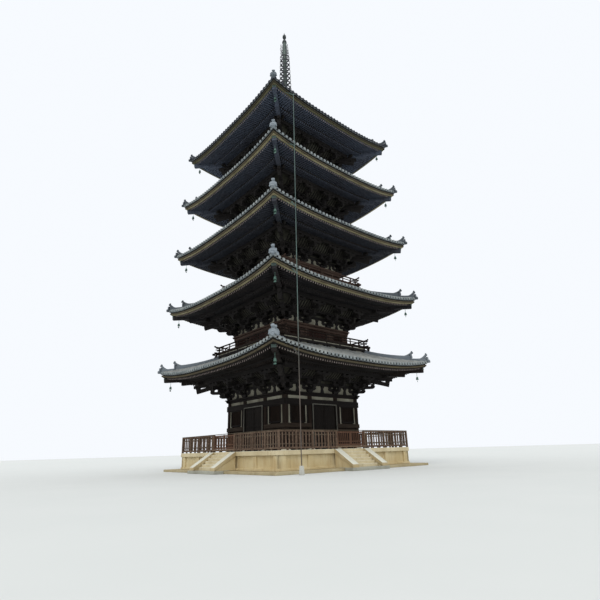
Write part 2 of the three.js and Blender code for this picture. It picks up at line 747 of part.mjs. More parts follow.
function groundFloor() {
  const top = PLATFORM_TOP + FLOOR_HEIGHT[0];
  const half = COLUMN_LINE[0] - COLUMN_RADIUS - GAP;
  const slab = block([-half, half], [-half, half], [PLATFORM_TOP + GAP, top]);
  const reach = DOORWAY.half - GAP;
  const threshold = southBlock(
    [-reach, reach],
    [half - 50, COLUMN_LINE[0] + GROUND_BEAMS[0].out],
    [PLATFORM_TOP + GAP, PLATFORM_TOP + DOORWAY.sillTop],
  );
  return join([slab, ...onFourSides([threshold])]);
}

// One leaf of a ground-storey door on the south side, east of the middle
function doorLeaf(inner) {
  const far = COLUMN_LINE[0] + DOOR.front;
  const bottom = PLATFORM_TOP + DOOR.bottom;
  const top = PLATFORM_TOP + DOOR.top;
  const leaf = southBlock([inner, DOOR.edge], [far - DOOR.thickness, far], [bottom, top]);
  const pin = roundPost(
    DOOR.edge - DOOR_PIN.inset,
    -far + DOOR.thickness / 2,
    [PLATFORM_TOP + DOORWAY.sillTop + GAP, PLATFORM_TOP + DOORWAY.head - GAP],
    DOOR_PIN.radius,
  );
  return [leaf, pin];
}

function innerColumns() {
  const { line, radius } = INNER_COLUMNS;
  const foot = PLATFORM_TOP + FLOOR_HEIGHT[0] + GAP;
  const top = PLATFORM_TOP + INNER_COLUMNS.top;
  const beam = flatRing(
    line - INNER_COLUMNS.beamWidth / 2,
    line + INNER_COLUMNS.beamWidth / 2,
    [top - INNER_COLUMNS.beamDepth, top],
  );
  return join([beam, ...onFourSides([roundPost(line, -line, [foot, top], radius)])]);
}

function heartPillar() {
  const foot = PLATFORM_TOP + FLOOR_HEIGHT[0] + GAP;
  return join([roundPost(0, 0, [foot, PLATFORM_TOP + HEART_PILLAR.top], HEART_PILLAR.radius)]);
}

function finialFoot() {
  const bottom = PLATFORM_TOP + APEX.height + GAP;
  const top = PLATFORM_TOP + BASIN.top;
  const box = block([-BASIN.half, BASIN.half], [-BASIN.half, BASIN.half], [bottom, top]);
  const bands = [[bottom, bottom + BASIN.bandHeight], [top - BASIN.bandHeight, top]].map((z) =>
    block([-BASIN.band, BASIN.band], [-BASIN.band, BASIN.band], z),
  );
  const bowlTop = PLATFORM_TOP + BOWL.top;
  const lotusTop = PLATFORM_TOP + LOTUS.top;
  const bowl = turned(
    [
      [0, top - 10], [BOWL.radius, top - 10], [BOWL.radius * 0.92, top + 240], [LOTUS.foot, bowlTop],
      [LOTUS.foot, bowlTop + 120], [LOTUS.radius, lotusTop - LOTUS.rim], [LOTUS.radius, lotusTop],
      [0, lotusTop],
    ],
    FINIAL_ROUND,
  );
  return [box, ...bands, bowl];
}

function finialRings() {
  const foot = PLATFORM_TOP + LOTUS.top - 10;
  const mast = roundPost(0, 0, [foot, PLATFORM_TOP + MAST_TOP], MAST_RADIUS, FINIAL_ROUND);
  const pieces = [mast];
  for (let k = 0; k < RINGS.count; k += 1) {
    const z = PLATFORM_TOP + RINGS.first + k * RINGS.pitch;
    const [low, high] = [z - RINGS.height / 2, z + RINGS.height / 2];
    const { inner, outer } = RINGS;
    const section = [[inner, low], [outer, low], [outer, high], [inner, high], [inner, low]];
    pieces.push(turned(section, RING_SIDES));
    const reach = RINGS.inner + 40;
    const half = RING_SPOKE / 2;
    const spokes = block([-reach, reach], [-half, half], [z - half, z + half]);
    pieces.push(turn(spokes, k % 2));
  }
  return pieces;
}

function finialFlame() {
  const foot = PLATFORM_TOP + MAST_TOP + GAP;
  const bottom = PLATFORM_TOP + FLAME.bottom;
  const top = PLATFORM_TOP + FLAME.top;
  const jewel = PLATFORM_TOP + JEWEL.centre;
  const ball = PLATFORM_TOP + DRAGON_BALL.centre;
  const height = top - bottom;
  const vane = uprightPlate(
    [
      [0, bottom], [FLAME.reach * 0.7, bottom + height * 0.05], [FLAME.reach, bottom + height * 0.45],
      [FLAME.reach * 0.8, bottom + height * 0.7], [FLAME.reach * 0.85, top],
      [FLAME.reach * 0.4, top - height * 0.08], [0, top - height * 0.1],
    ],
    FLAME.thickness,
  );
  const mast = roundPost(0, 0, [foot, jewel], MAST_RADIUS * 0.55, FINIAL_ROUND);
  const balls = [[DRAGON_BALL.radius, ball], [JEWEL.radius, jewel]].map(([radius, z]) =>
    new THREE.SphereGeometry(radius, FINIAL_ROUND, 6).rotateX(Math.PI / 2).translate(0, 0, z),
  );
  const shoulder = [JEWEL.radius * 0.75, jewel + JEWEL.radius * 0.6];
  const tip = turned([[0, jewel], shoulder, [0, PLATFORM_TOP + JEWEL.tip]], FINIAL_ROUND);
  return join([mast, ...balls, tip, ...onFourSides([vane])]);
}

// Where the cable passes each eave, from the top one down
function cablePoint(index) {
  const eave = EAVE_HALF[index];
  return new THREE.Vector3(
    CABLE.fromCorner - eave,
    -eave - CABLE.out,
    PLATFORM_TOP + EAVE_HEIGHT[index] + CABLE.below,
  );
}

// A round rod from one point to another
function rod(from, to, radius, sides) {
  const along = to.clone().sub(from);
  const stick = new THREE.CylinderGeometry(radius, radius, along.length(), sides);
  const upright = new THREE.Vector3(0, 1, 0);
  stick.applyQuaternion(new THREE.Quaternion().setFromUnitVectors(upright, along.normalize()));
  const middle = from.clone().add(to).multiplyScalar(0.5);
  return stick.translate(middle.x, middle.y, middle.z);
}

// Height of the fascia's top edge at x along a side: straight between the ring's own points
function fasciaTop(plan, x) {
  const out = plan.eave - TILE_OVERHANG;
  const u = Math.abs(x) / out;
  const k = ALONG_SIDE.findIndex((next) => next >= u);
  const [before, after] = [ALONG_SIDE[k - 1], ALONG_SIDE[k]];
  const share = (u - before) / (after - before);
  const rise = (1 - share) * Math.abs(before) ** LIFT_POWER + share * after ** LIFT_POWER;
  return boardTop(plan, out) + plan.lift(out) * rise;
}

function lightningConductor() {
  const eaves = [...Array(STOREYS).keys()].reverse();
  const points = eaves.map(cablePoint);
  const lowest = points[points.length - 1];
  const ground = new THREE.Vector3(lowest.x, lowest.y, CABLE_FOOT.top - 60);
  const stops = [...points, ground];
  const pieces = stops.slice(1).map((to, k) => rod(stops[k], to, CABLE.radius, CABLE.sides));
  const { clamp, plate, plateDepth, plateDrop, prong } = CABLE_FORK;
  points.forEach((point, k) => {
    const plan = storeyPlan(eaves[k]);
    const seat = -(plan.eave - TILE_OVERHANG + GAP);
    const top = fasciaTop(plan, point.x) - plateDrop;
    const bottom = top - 2 * plate;
    pieces.push(
      block(
        [point.x - clamp, point.x + clamp],
        [point.y - clamp, point.y + clamp],
        [point.z - clamp, point.z + clamp],
      ),
      block([point.x - plate, point.x + plate], [seat - plateDepth, seat], [bottom, top]),
    );
    [top - prong, bottom + prong].forEach((z) => {
      const foot = new THREE.Vector3(point.x, seat - plateDepth, z);
      pieces.push(rod(point, foot, prong, 4));
    });
  });
  pieces.push(
    block(
      [ground.x - CABLE_FOOT.half, ground.x + CABLE_FOOT.half],
      [ground.y - CABLE_FOOT.half, ground.y + CABLE_FOOT.half],
      [0, CABLE_FOOT.top],
    ),
  );
  return join(pieces);
}

platformPieces();

const SIDES = ["south", "east", "north", "west"];
SIDES.forEach((side, quarter) => {
  const placed = (pieces) => join(pieces.map((geometry) => turn(geometry, quarter)));
  add(`${side}_stair`, placed(stairFlight()), PALE_STONE);
  const [leftRun, rightRun] = [-1, 1].map((end) => fenceRun(end, quarter % 2 === 0));
  const fence = [...leftRun, ...rightRun, gateSill(GATE_SILL.half)];
  if (side === "south") {
    add("south_fence", placed(fence), FENCE_TIMBER);
  } else if (side === "west") {
    const clearHalf = FENCE.bays[0] - FENCE.post / 2 - GAP;
    add("west_fence_left", placed(leftRun), FENCE_TIMBER);
    add("west_fence_right", placed(rightRun), FENCE_TIMBER);
    add("west_gate_sill", placed([gateSill(clearHalf)]), FENCE_TIMBER);
  } else {
    add(`${side}_fence`, placed([...fence, ...closedGate()]), FENCE_TIMBER);
  }
  if (side === "south" || side === "west") {
    add(`${side}_gate_right`, placed(gateLeaf()), RED_TIMBER);
    add(`${side}_gate_left`, placed(mirrorX(gateLeaf())), RED_TIMBER);
  }
});

add("ground_floor", groundFloor(), TIMBER);
const CORNERS = ["southeast", "northeast", "northwest", "southwest"];
const wallSolid = cornerWall();
CORNERS.forEach((corner, quarter) => {
  add(`corner_wall_${corner}`, wallSolid, RED_TIMBER);
  pagoda.children[pagoda.children.length - 1].geometry.rotateZ((quarter * Math.PI) / 2);
});
add("storey_1_head_beams", headBeams(), TIMBER);
SIDES.forEach((side, quarter) => {
  if (side === "south") {
    add("south_door_right", join(doorLeaf(DOOR.meeting)), TIMBER);
    add("south_door_left", join(mirrorX(doorLeaf(DOOR.meeting))), TIMBER);
    return;
  }
  const pair = [...doorLeaf(-1), ...mirrorX(doorLeaf(-1))];
  add(`${side}_doors`, join(pair.map((geometry) => turn(geometry, quarter))), TIMBER);
});
add("inner_columns", innerColumns(), TIMBER);
add("heart_pillar", heartPillar(), TIMBER);

for (let index = 0; index < STOREYS; index += 1) {
  const plan = storeyPlan(index);
  const storey = index + 1;
  if (index > 0) {
    add(`veranda_${storey}`, veranda(plan), TIMBER);
    add(`storey_${storey}_walls`, upperWalls(plan), RED_TIMBER);
    add(`storey_${storey}_lining`, upperLining(plan), RED_TIMBER);
  }
  add(`brackets_${storey}`, bracketRing(plan), TIMBER);
  add(`eaves_${storey}`, join([eavesShell(plan), ...hipBeams(plan), ...cornerBells(plan)]), TIMBER);
  add(`roof_${storey}`, join([roofShell(plan), ...cornerRidges(plan)]), TILE);
}

add("finial_stem", join([...finialFoot(), ...finialRings()]), BRONZE);
add("finial_flame", finialFlame(), BRONZE);
add("lightning_conductor", lightningConductor(), CABLE_METAL);

export default pagoda;
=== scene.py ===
"""The looks of a five-storey timber pagoda: tiled roofs, bracket sets, verandas, stone platform and finial.

Metres, +Z up, origin at ground level on the tower's axis; south is -Y and west is -X.
"""

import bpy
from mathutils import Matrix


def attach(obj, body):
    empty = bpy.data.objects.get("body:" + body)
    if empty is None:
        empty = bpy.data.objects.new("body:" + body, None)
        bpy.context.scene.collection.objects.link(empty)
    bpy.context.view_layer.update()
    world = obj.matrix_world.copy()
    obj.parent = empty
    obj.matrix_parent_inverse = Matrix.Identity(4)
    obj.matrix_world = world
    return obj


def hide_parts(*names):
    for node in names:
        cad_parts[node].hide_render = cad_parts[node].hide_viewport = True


bl_info = {
    "name": "Five-Storey Pagoda",
    "version": (1, 0, 0),
    "blender": (4, 5, 0),
    "location": "View3D > Sidebar > Pagoda",
    "description": "Builds the tiles, timberwork, stonework and finial of a five-storey pagoda",
    "category": "Object",
}

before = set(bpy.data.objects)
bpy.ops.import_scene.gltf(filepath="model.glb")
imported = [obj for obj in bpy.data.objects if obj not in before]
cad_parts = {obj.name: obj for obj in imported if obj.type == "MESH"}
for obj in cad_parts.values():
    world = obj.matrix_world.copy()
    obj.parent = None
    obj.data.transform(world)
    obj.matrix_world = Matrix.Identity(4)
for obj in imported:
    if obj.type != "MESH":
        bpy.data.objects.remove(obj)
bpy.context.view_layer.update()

import math

import bmesh
import bpy
from bpy.props import FloatProperty, FloatVectorProperty, IntProperty, PointerProperty
from mathutils import Matrix, Vector

STOREYS = 5
SIDES = ("south", "east", "north", "west")
UP = Vector((0, 0, 1))
QUARTERS = [Matrix.Rotation(math.radians(90 * quarter), 4, "Z") for quarter in range(4)]
DIAGONAL = Matrix.Rotation(math.radians(45), 4, "Z")
CORNERWISE = math.sqrt(2)
OUTWARD = Matrix.Rotation(math.radians(-90), 4, "Z")
FACING = Matrix.Rotation(math.radians(90), 4, "X")
MERGE = 1e-5
SMOOTH_BELOW = math.radians(35)

# Roofs: heights above the tile edge at mid-side, distances in from the eave
TILE_EDGE = 0.16
ROOF_THICKNESS = 0.24
ROOF_SAG = 0.2
TOP_ROOF_SAG = 0.28
CORNER_LIFT = 0.62
EDGE_RISE = (0.09, 0.06, 0.2, 0.08, 0.13)
LIFT_POWER = 2.8
LIFT_FADE = 1.4
APEX_HEIGHT = 25.95
APEX_HALF = 0.56
RAFTER_END = 1.35
RAFTER_FOOT = -0.36
RAFTER_SLOPE = 0.288
FLYING_END = 0.33

# Verandas: distances out from the column line, heights above the veranda floor
VERANDA_BASE = 0.91
VERANDA_DEPTH = 0.22
RAIL_LINE = 0.9
RAIL_REACH = 1.195


def srgb(red, green, blue):
    """A colour as Blender's nodes take it, from its 0 to 255 screen values."""
    shares = [value / 255 for value in (red, green, blue)]
    return (*[c / 12.92 if c < 0.04 else ((c + 0.055) / 1.055) ** 2.4 for c in shares], 1.0)


class Storey:
    """Half-widths and heights that one storey is worked out from."""

    def __init__(self, sizes, index):
        base = sizes.platform_top
        self.top = index == STOREYS - 1
        self.number = index + 1
        self.base = base
        self.eave = sizes.eave_half[index]
        self.corner_edge = base + sizes.eave_height[index]
        self.tile_edge = self.corner_edge + EDGE_RISE[index]
        self.corner_lift = CORNER_LIFT - EDGE_RISE[index]
        self.column = sizes.column_line[index]
        self.inner = sizes.inner_line[index]
        self.plate = base + sizes.plate_height[index]
        self.floor = base + sizes.floor_height[index]
        self.shoulder = APEX_HALF if self.top else sizes.column_line[index + 1] + VERANDA_BASE
        self.crown = base + (APEX_HEIGHT if self.top else sizes.floor_height[index + 1] - VERANDA_DEPTH)
        self.sag = TOP_ROOF_SAG if self.top else ROOF_SAG
        self.lift_from = self.column + VERANDA_BASE if self.top else self.shoulder
        self.rafter_end = self.eave - RAFTER_END

    def roof_top(self, out):
        along = min(1, (self.eave - out) / (self.eave - self.shoulder))
        rise = self.crown - self.tile_edge - TILE_EDGE
        return self.tile_edge + TILE_EDGE + rise * ((1 - self.sag) * along + self.sag * along * along)

    def lift(self, out):
        return self.corner_lift * max(0, (out - self.lift_from) / (self.eave - self.lift_from)) ** LIFT_FADE

    def raised(self, out, x):
        """How far the eaves' curve lifts a point at x along a side."""
        return self.lift(out) * min(1, abs(x) / out) ** LIFT_POWER

    def rafter_foot(self, out):
        return self.tile_edge + RAFTER_FOOT + (self.rafter_end - out) * RAFTER_SLOPE


def storeys():
    sizes = bpy.context.scene.pagoda_sizes
    return [Storey(sizes, index) for index in range(STOREYS)]


# Shapes


def about(middle, half):
    """The range of a half-width on both sides of a middle."""
    return middle - half, middle + half


def span(side, near, far):
    """The range of x between two distances from the middle, east for side 1 and west for side -1."""
    return sorted((side * near, side * far))


def south(line, out, back):
    """The range of y from out beyond a line of the south side to back behind it."""
    return -line - out, -line + back


def up(base, low, high):
    """The range of z between two heights above a base."""
    return base + low, base + high


def hip(out, z):
    """A point over the corner of a half-width, drawn towards -y."""
    return Vector((0, -out * CORNERWISE, z))


def box(bm, x, y, z):
    """A block between two values on each axis."""
    middle = Vector([(a + b) / 2 for a, b in (x, y, z)])
    spans = [b - a for a, b in (x, y, z)]
    place = Matrix.Translation(middle) @ Matrix.Diagonal((*spans, 1))
    return bmesh.ops.create_cube(bm, size=1, matrix=place)["verts"]


def wear(bm, edges, offset=0.012, segments=1):
    """Rounds off edges."""
    bmesh.ops.bevel(
        bm, geom=edges, offset=offset, segments=segments, profile=0.5, affect="EDGES", material=-1
    )


def soft_box(bm, x, y, z, edge=0.012):
    """A block with its edges worn round."""
    corners = box(bm, x, y, z)
    wear(bm, list({e for corner in corners for e in corner.link_edges}), edge)


def timber(bm, start, end, width, depth):
    """A squared timber whose top runs from start to end."""
    start, end = Vector(start), Vector(end)
    along = (end - start).normalized()
    side = along.cross(UP).normalized() if abs(along.z) < 0.99 else Vector((1, 0, 0))
    over = side.cross(along)
    turn = Matrix((side * width, along * (end - start).length, over * depth)).transposed().to_4x4()
    middle = (start + end) / 2 - over * depth / 2
    return bmesh.ops.create_cube(bm, size=1, matrix=Matrix.Translation(middle) @ turn)["verts"]


def rod(bm, start, end, radius, sides=12, end_radius=None):
    """A round bar, post or pin from start to end."""
    start, end = Vector(start), Vector(end)
    run = end - start
    turn = run.to_track_quat("Z", "Y").to_matrix().to_4x4()
    last = radius if end_radius is None else end_radius
    return bmesh.ops.create_cone(
        bm, cap_ends=True, segments=sides, radius1=radius, radius2=last, depth=run.length,
        matrix=Matrix.Translation((start + end) / 2) @ turn,
    )["verts"]


def plate(bm, outline, thickness, place=Matrix.Identity(4)):
    """A flat outline in (x, z), given its thickness along y and then put in its place."""
    corners = [bm.verts.new((x, -thickness / 2, z)) for x, z in outline]
    front = bm.faces.new(corners)
    grown = bmesh.ops.extrude_face_region(bm, geom=[front])["geom"]
    moved = [v for v in grown if isinstance(v, bmesh.types.BMVert)]
    bmesh.ops.translate(bm, verts=moved, vec=(0, thickness, 0))
    bmesh.ops.transform(bm, verts=corners + moved, matrix=place)
    return corners + moved


def sheet(bm, across, along, place):
    """A grid of quads whose corners go where place says."""
    made = bmesh.ops.create_grid(bm, x_segments=across, y_segments=along, size=1)["verts"]
    for corner in made:
        i = round((corner.co.x + 1) / 2 * across)
        j = round((corner.co.y + 1) / 2 * along)
        corner.co = place(i, j)
    return made


def run(bm, section, steps, place):
    """A closed section carried along steps, with both ends closed."""
    count = len(section)
    made = sheet(bm, count, steps, lambda i, j: place(section[i % count], j))
    bmesh.ops.remove_doubles(bm, verts=made, dist=MERGE)
    kept = [v for v in made if v.is_valid]
    open_edges = {e for v in kept for e in v.link_edges if e.is_boundary}
    bmesh.ops.holes_fill(bm, edges=list(open_edges), sides=0)


def turned(bm, profile, sides=24, place=Matrix.Identity(4)):
    """A profile of (radius, height) spun round the vertical axis."""
    chain = [bm.verts.new((max(radius, 0), 0, z)) for radius, z in profile]
    edges = [bm.edges.new(pair) for pair in zip(chain, chain[1:])]
    bmesh.ops.spin(
        bm, geom=chain + edges, cent=(0, 0, 0), axis=(0, 0, 1), angle=math.tau, steps=sides, use_merge=True
    )
    bm.verts.ensure_lookup_table()
    made = {v for e in edges if e.is_valid for v in e.verts}
    reached = set(made)
    while made:
        made = {o for v in made for e in v.link_edges for o in e.verts} - reached
        reached |= made
    bmesh.ops.remove_doubles(bm, verts=list(reached), dist=MERGE)
    kept = [v for v in reached if v.is_valid]
    bmesh.ops.transform(bm, verts=kept, matrix=place)
    return kept


def carried(bm, outline, storey=None, steps=24):
    """A closed outline of (out, height) carried round the four sides, and lifted with a storey's eave."""
    count = len(outline)
    steps = steps if storey else 1

    def place(i, j):
        out, z = outline[j % count]
        side, k = divmod(i % (4 * steps), steps)
        u = 2 * k / steps - 1
        raised = storey.lift(out) * abs(u) ** LIFT_POWER if storey else 0
        return QUARTERS[side] @ Vector((u * out, -out, z + raised))

    made = sheet(bm, 4 * steps, count, place)
    bmesh.ops.remove_doubles(bm, verts=made, dist=MERGE)


def band(bm, near, far, low, high, storey=None):
    """A square ring between two half-widths and two heights."""
    carried(bm, [(near, low), (far, low), (far, high), (near, high)], storey)


def four_sides(bm):
    """What stands on the south side, again on the other three."""
    drawn = bm.verts[:] + bm.edges[:] + bm.faces[:]
    for quarter in range(1, 4):
        copy = bmesh.ops.duplicate(bm, geom=drawn)["geom"]
        moved = [v for v in copy if isinstance(v, bmesh.types.BMVert)]
        bmesh.ops.transform(bm, verts=moved, matrix=QUARTERS[quarter])


def mirrored(bm):
    """What stands east of the middle, again west of it."""
    drawn = bm.verts[:] + bm.edges[:] + bm.faces[:]
    copy = bmesh.ops.duplicate(bm, geom=drawn)["geom"]
    moved = [v for v in copy if isinstance(v, bmesh.types.BMVert)]
    bmesh.ops.scale(bm, vec=(-1, 1, 1), verts=moved)
    faces = [f for f in copy if isinstance(f, bmesh.types.BMFace)]
    bmesh.ops.reverse_faces(bm, faces=faces)


def copies(bm, unit, places=(Matrix.Identity(4),)):
    """A unit added at each place. The unit itself is used up."""
    mesh = bpy.data.meshes.new("unit")
    unit.to_mesh(mesh)
    unit.free()
    for place in places:
        mesh.transform(place)
        bm.from_mesh(mesh)
        mesh.transform(place.inverted())
    bpy.data.meshes.remove(mesh)


def placed(name, data):
    """An object of the scene, made from its data."""
    made = bpy.data.objects.new(name, data)
    bpy.context.scene.collection.objects.link(made)
    return made


def add(name, bm, look, stands_for=(), body="tower"):
    """A piece of the pagoda in one of the finishes, riding on its body."""
    bmesh.ops.recalc_face_normals(bm, faces=bm.faces)
    mesh = bpy.data.meshes.new(name)
    bm.to_mesh(mesh)
    bm.free()
    mesh.materials.append(finish(look))
    mesh.shade_smooth()
    mesh.set_sharp_from_angle(angle=SMOOTH_BELOW)
    made = placed(name, mesh)
    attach(made, body)
    if stands_for:
        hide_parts(*stands_for)


def add_round(name, bm, look, stands_for=()):
    """A piece that stands on all four sides, from what is drawn on the south side."""
    four_sides(bm)
    add(name, bm, look, stands_for)


def dress(nodes, look):
    """Gives CAD nodes that stay their finish."""
    for name in nodes:
        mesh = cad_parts[name].data
        mesh.materials.clear()
        mesh.materials.append(finish(look))


# Materials

EVEN = (1, 1, 1)
HORIZONTAL = (0.9, 0.9, 34.0)
VERTICAL = (26.0, 26.0, 0.9)
ROUGH_SAWN = (9.0, 9.0, 9.0)
DAMP = (2.2, 2.2, 0.5)
RUNS = (1, 1, 0.35)


class Wire:
    """A socket of a material. Python's operators on it add Math nodes."""

    def __init__(self, finish, socket):
        self.finish = finish
        self.socket = socket

    def maths(self, operation, first, second):
        return self.finish.node("ShaderNodeMath", {"operation": operation}, {0: first, 1: second})

    def __add__(self, other):
        return self.maths("ADD", self, other)

    __radd__ = __add__

    def __sub__(self, other):
        return self.maths("SUBTRACT", self, other)

    def __rsub__(self, other):
        return self.maths("SUBTRACT", other, self)

    def __mul__(self, other):
        return self.maths("MULTIPLY", self, other)

    __rmul__ = __mul__

    def __gt__(self, other):
        return self.maths("GREATER_THAN", self, other)

    def __lt__(self, other):
        return self.maths("LESS_THAN", self, other)

    def __mod__(self, other):
        return self.maths("FLOORED_MODULO", self, other)

    def __rmod__(self, other):
        return self.maths("FLOORED_MODULO", other, self)

    def between(self, low, high):
        """0 at low, 1 at high, and held there beyond."""
        return self.finish.node("ShaderNodeMapRange", {"clamp": True}, {0: self, 1: low, 2: high})


class Finish:
    """A procedural material on Object coordinates."""

    def __init__(self, name, metallic=0.0, gloss=0.5):
        self.material = bpy.data.materials.new(f"pagoda_{name}")
        self.material.use_nodes = True
        self.tree = self.material.node_tree
        self.shader = self.tree.nodes["Principled BSDF"]
        self.shader.inputs["Metallic"].default_value = metallic
        self.shader.inputs["Specular IOR Level"].default_value = gloss
        self.place = self.node("ShaderNodeTexCoord", output="Object")

    def node(self, kind, settings=None, sockets=None, output=0):
        """A node with its settings made first, then the values or links of its sockets."""
        made = self.tree.nodes.new(kind)
        for key, value in (settings or {}).items():
            setattr(made, key, value)
        for key, value in (sockets or {}).items():
            self.feed(made.inputs[key], value)
        return Wire(self, made.outputs[output])

    def feed(self, socket, value):
        if isinstance(value, Wire):
            self.tree.links.new(value.socket, socket)
        else:
            socket.default_value = value

    def spread(self, stretch, seed):
        """The surface's place, stretched along the axes and shifted by a seed."""
        sockets = {"Vector": self.place, "Location": (seed, seed, seed), "Scale": stretch}
        return self.node("ShaderNodeMapping", None, sockets)

    def noise(self, scale, stretch=EVEN, detail=3.0, seed=0.0):
        sockets = {"Vector": self.spread(stretch, seed), "Scale": scale, "Detail": detail}
        return self.node("ShaderNodeTexNoise", None, sockets)

    def cells(self, scale, stretch=EVEN, seed=0.0):
        """A random value for each cell, as for one tile or one board."""
        sockets = {"Vector": self.spread(stretch, seed), "Scale": scale}
        return self.node("ShaderNodeTexVoronoi", None, sockets, output="Color")

    def axis(self, name):
        return self.node("ShaderNodeSeparateXYZ", None, {0: self.place}, output=name)

    def facing(self, name):
        """How far the surface faces along one axis."""
        normal = self.node("ShaderNodeNewGeometry", output="Normal")
        return self.node("ShaderNodeSeparateXYZ", None, {0: normal}, output=name)

    def mix(self, share, first, second):
        """Between two colours, each a socket or three screen values."""
        first, second = [tone if isinstance(tone, Wire) else srgb(*tone) for tone in (first, second)]
        return self.node("ShaderNodeMix", {"data_type": "RGBA"}, {0: share, 6: first, 7: second}, output=2)

    def finished(self, colour, roughness, height=None, strength=0.5, depth=0.01):
        self.feed(self.shader.inputs["Base Color"], colour)
        self.feed(self.shader.inputs["Roughness"], roughness)
        if height is not None:
            sockets = {"Height": height, "Strength": strength, "Distance": depth}
            self.feed(self.shader.inputs["Normal"], self.node("ShaderNodeBump", None, sockets))
        return self.material


def timber_finish(name, dark, middle, pale, grain, rough=0.8, worn=0.35):
    """Weathered timber: grain along the least stretched axis, faded in patches."""
    wood = Finish(name, gloss=0.12)
    lines = wood.noise(1.0, grain, 4.0)
    patches = wood.noise(0.55, EVEN, 4.0, 3.7)
    fine = wood.noise(9.0, EVEN, 3.0, 8.1)
    colour = wood.mix(lines.between(0.3, 0.72), dark, middle)
    colour = wood.mix(patches.between(0.52, 0.78) * fine.between(0.3, 0.65) * worn, colour, pale)
    return wood.finished(colour, fine * 0.2 + (rough - 0.1), lines * 0.7 + fine * 0.3, 0.6, 0.012)


def stone_finish(name, base, pale, stain, stain_share=0.6, drip=DAMP, pale_shift=0.0):
    """Dressed granite: fine speckle, soft patches, streaks of damp, and upward faces made paler as painted
    sky light.
    """
    stone = Finish(name, gloss=0.25)
    speckle = stone.noise(95.0, EVEN, 2.0)
    patches = stone.noise(0.9, EVEN, 5.0, 2.3)
    streaks = stone.noise(1.0, drip, 5.0, 6.1)
    pits = stone.noise(24.0, EVEN, 4.0, 1.1)
    colour = stone.mix(patches.between(0.35, 0.7), base, pale)
    colour = stone.mix(streaks.between(0.5, 0.8) * stain_share, colour, stain)
    colour = stone.mix(speckle.between(0.55, 0.75) * 0.35, colour, stain)
    if pale_shift:
        # Painted light: faces turned up are mixed towards a pale tone, as if lit by the sky
        colour = stone.mix(stone.facing("Z").between(0.2, 0.7) * pale_shift, colour, (206, 205, 190))
    return stone.finished(colour, 0.78 + pits * 0.15, pits * 0.7 + speckle * 0.3, 0.35, 0.01)


def metal_finish(name, base, pale, patina, rough=0.6, metallic=0.3, share=0.5):
    """Old metal with patina in patches and runs."""
    metal = Finish(name, metallic)
    runs = metal.noise(3.0, RUNS, 5.0)
    fine = metal.noise(22.0, EVEN, 3.0, 4.4)
    colour = metal.mix(fine.between(0.35, 0.7), base, pale)
    colour = metal.mix(runs.between(0.42, 0.68) * share, colour, patina)
    return metal.finished(colour, runs * 0.25 + (rough - 0.1), fine, 0.25, 0.006)


def tile_finish(name, dark, pale, pale_shift, share=0.5, layers=1.6, shade_tone=None):
    """Grey fired tiles, each a little different, paler in patches the weather has bleached.

    A shade tone darkens them away from the south-west corner, and on the top roof, as painted shade.
    """
    tile = Finish(name, gloss=0.2)
    each = tile.cells(3.4, (1, 1, layers), 0.4)
    wash = tile.noise(0.7, EVEN, 4.0)
    fine = tile.noise(30.0, EVEN, 3.0, 5.0)
    colour = tile.mix(each.between(0.1, 0.9), dark, pale)
    colour = tile.mix(wash.between(0.45, 0.75) * share, colour, pale_shift)
    colour = tile.mix(fine.between(0.6, 0.8) * 0.35, colour, dark)
    if shade_tone:
        # Painted shade: darker on the sides away from the south-west corner, more so higher up, and on the
        # top roof
        height = tile.axis("Z")
        east, north = tile.axis("X") > 0, tile.axis("Y") > 0
        away = east.maths("MAXIMUM", east, north) * (height.between(5.0, 12.0) * 0.5 + 0.3)
        colour = tile.mix(away, colour, shade_tone)
        colour = tile.mix(height.between(21.0, 23.0) * 0.5, colour, shade_tone)
    return tile.finished(colour, fine * 0.2 + 0.62, fine, 0.3, 0.006)


def plaster_finish(name, pale, stained, dark):
    """Lime plaster, grey with age, stained under the beams."""
    plaster = Finish(name, gloss=0.15)
    stains = plaster.noise(1.6, (1, 1, 0.5), 5.0)
    fine = plaster.noise(14.0, EVEN, 4.0, 2.0)
    colour = plaster.mix(stains.between(0.35, 0.75), pale, stained)
    colour = plaster.mix(fine.between(0.55, 0.8) * 0.35, colour, dark)
    return plaster.finished(colour, 0.9, fine, 0.25, 0.006)


def soffit_finish(name, low, high):
    """Underside of the eaves: a dark and a pale tone, darker low down as painted shade, paler and bluer up
    the tower as painted sky light.
    """
    wood = Finish(name, gloss=0.1)
    lines = wood.noise(3.0, (3, 3, 1), 4.0)
    patches = wood.noise(0.7, EVEN, 4.0, 3.0)
    dark, sky_lit_tone = [wood.mix(lines.between(0.3, 0.7), *tones) for tones in (low, high)]
    # Painted light: the lower eaves darkened as shade, the upper ones paler and bluer as if lit by the sky
    colour = wood.mix(wood.axis("Z").between(9.0, 24.0), dark, sky_lit_tone)
    colour = wood.mix(patches.between(0.45, 0.75) * 0.3, colour, (66, 55, 50))
    return wood.finished(colour, 0.85, lines, 0.4, 0.008)


def paving_finish(name, dark, pale, joint_tone, pitch=0.75, width=0.012):
    """Square stone flags with their joints."""
    flags = Finish(name)
    patches = flags.noise(1.3, EVEN, 4.0)
    fine = flags.noise(50.0, EVEN, 3.0, 2.0)
    joint = (flags.axis("X") % pitch < width) + (flags.axis("Y") % pitch < width)
    joint = joint.between(0.0, 1.0)
    colour = flags.mix(patches.between(0.3, 0.7), dark, pale)
    colour = flags.mix(joint * 0.75, colour, joint_tone)
    return flags.finished(colour, 0.85, fine * 0.3 - joint, 0.5, 0.01)


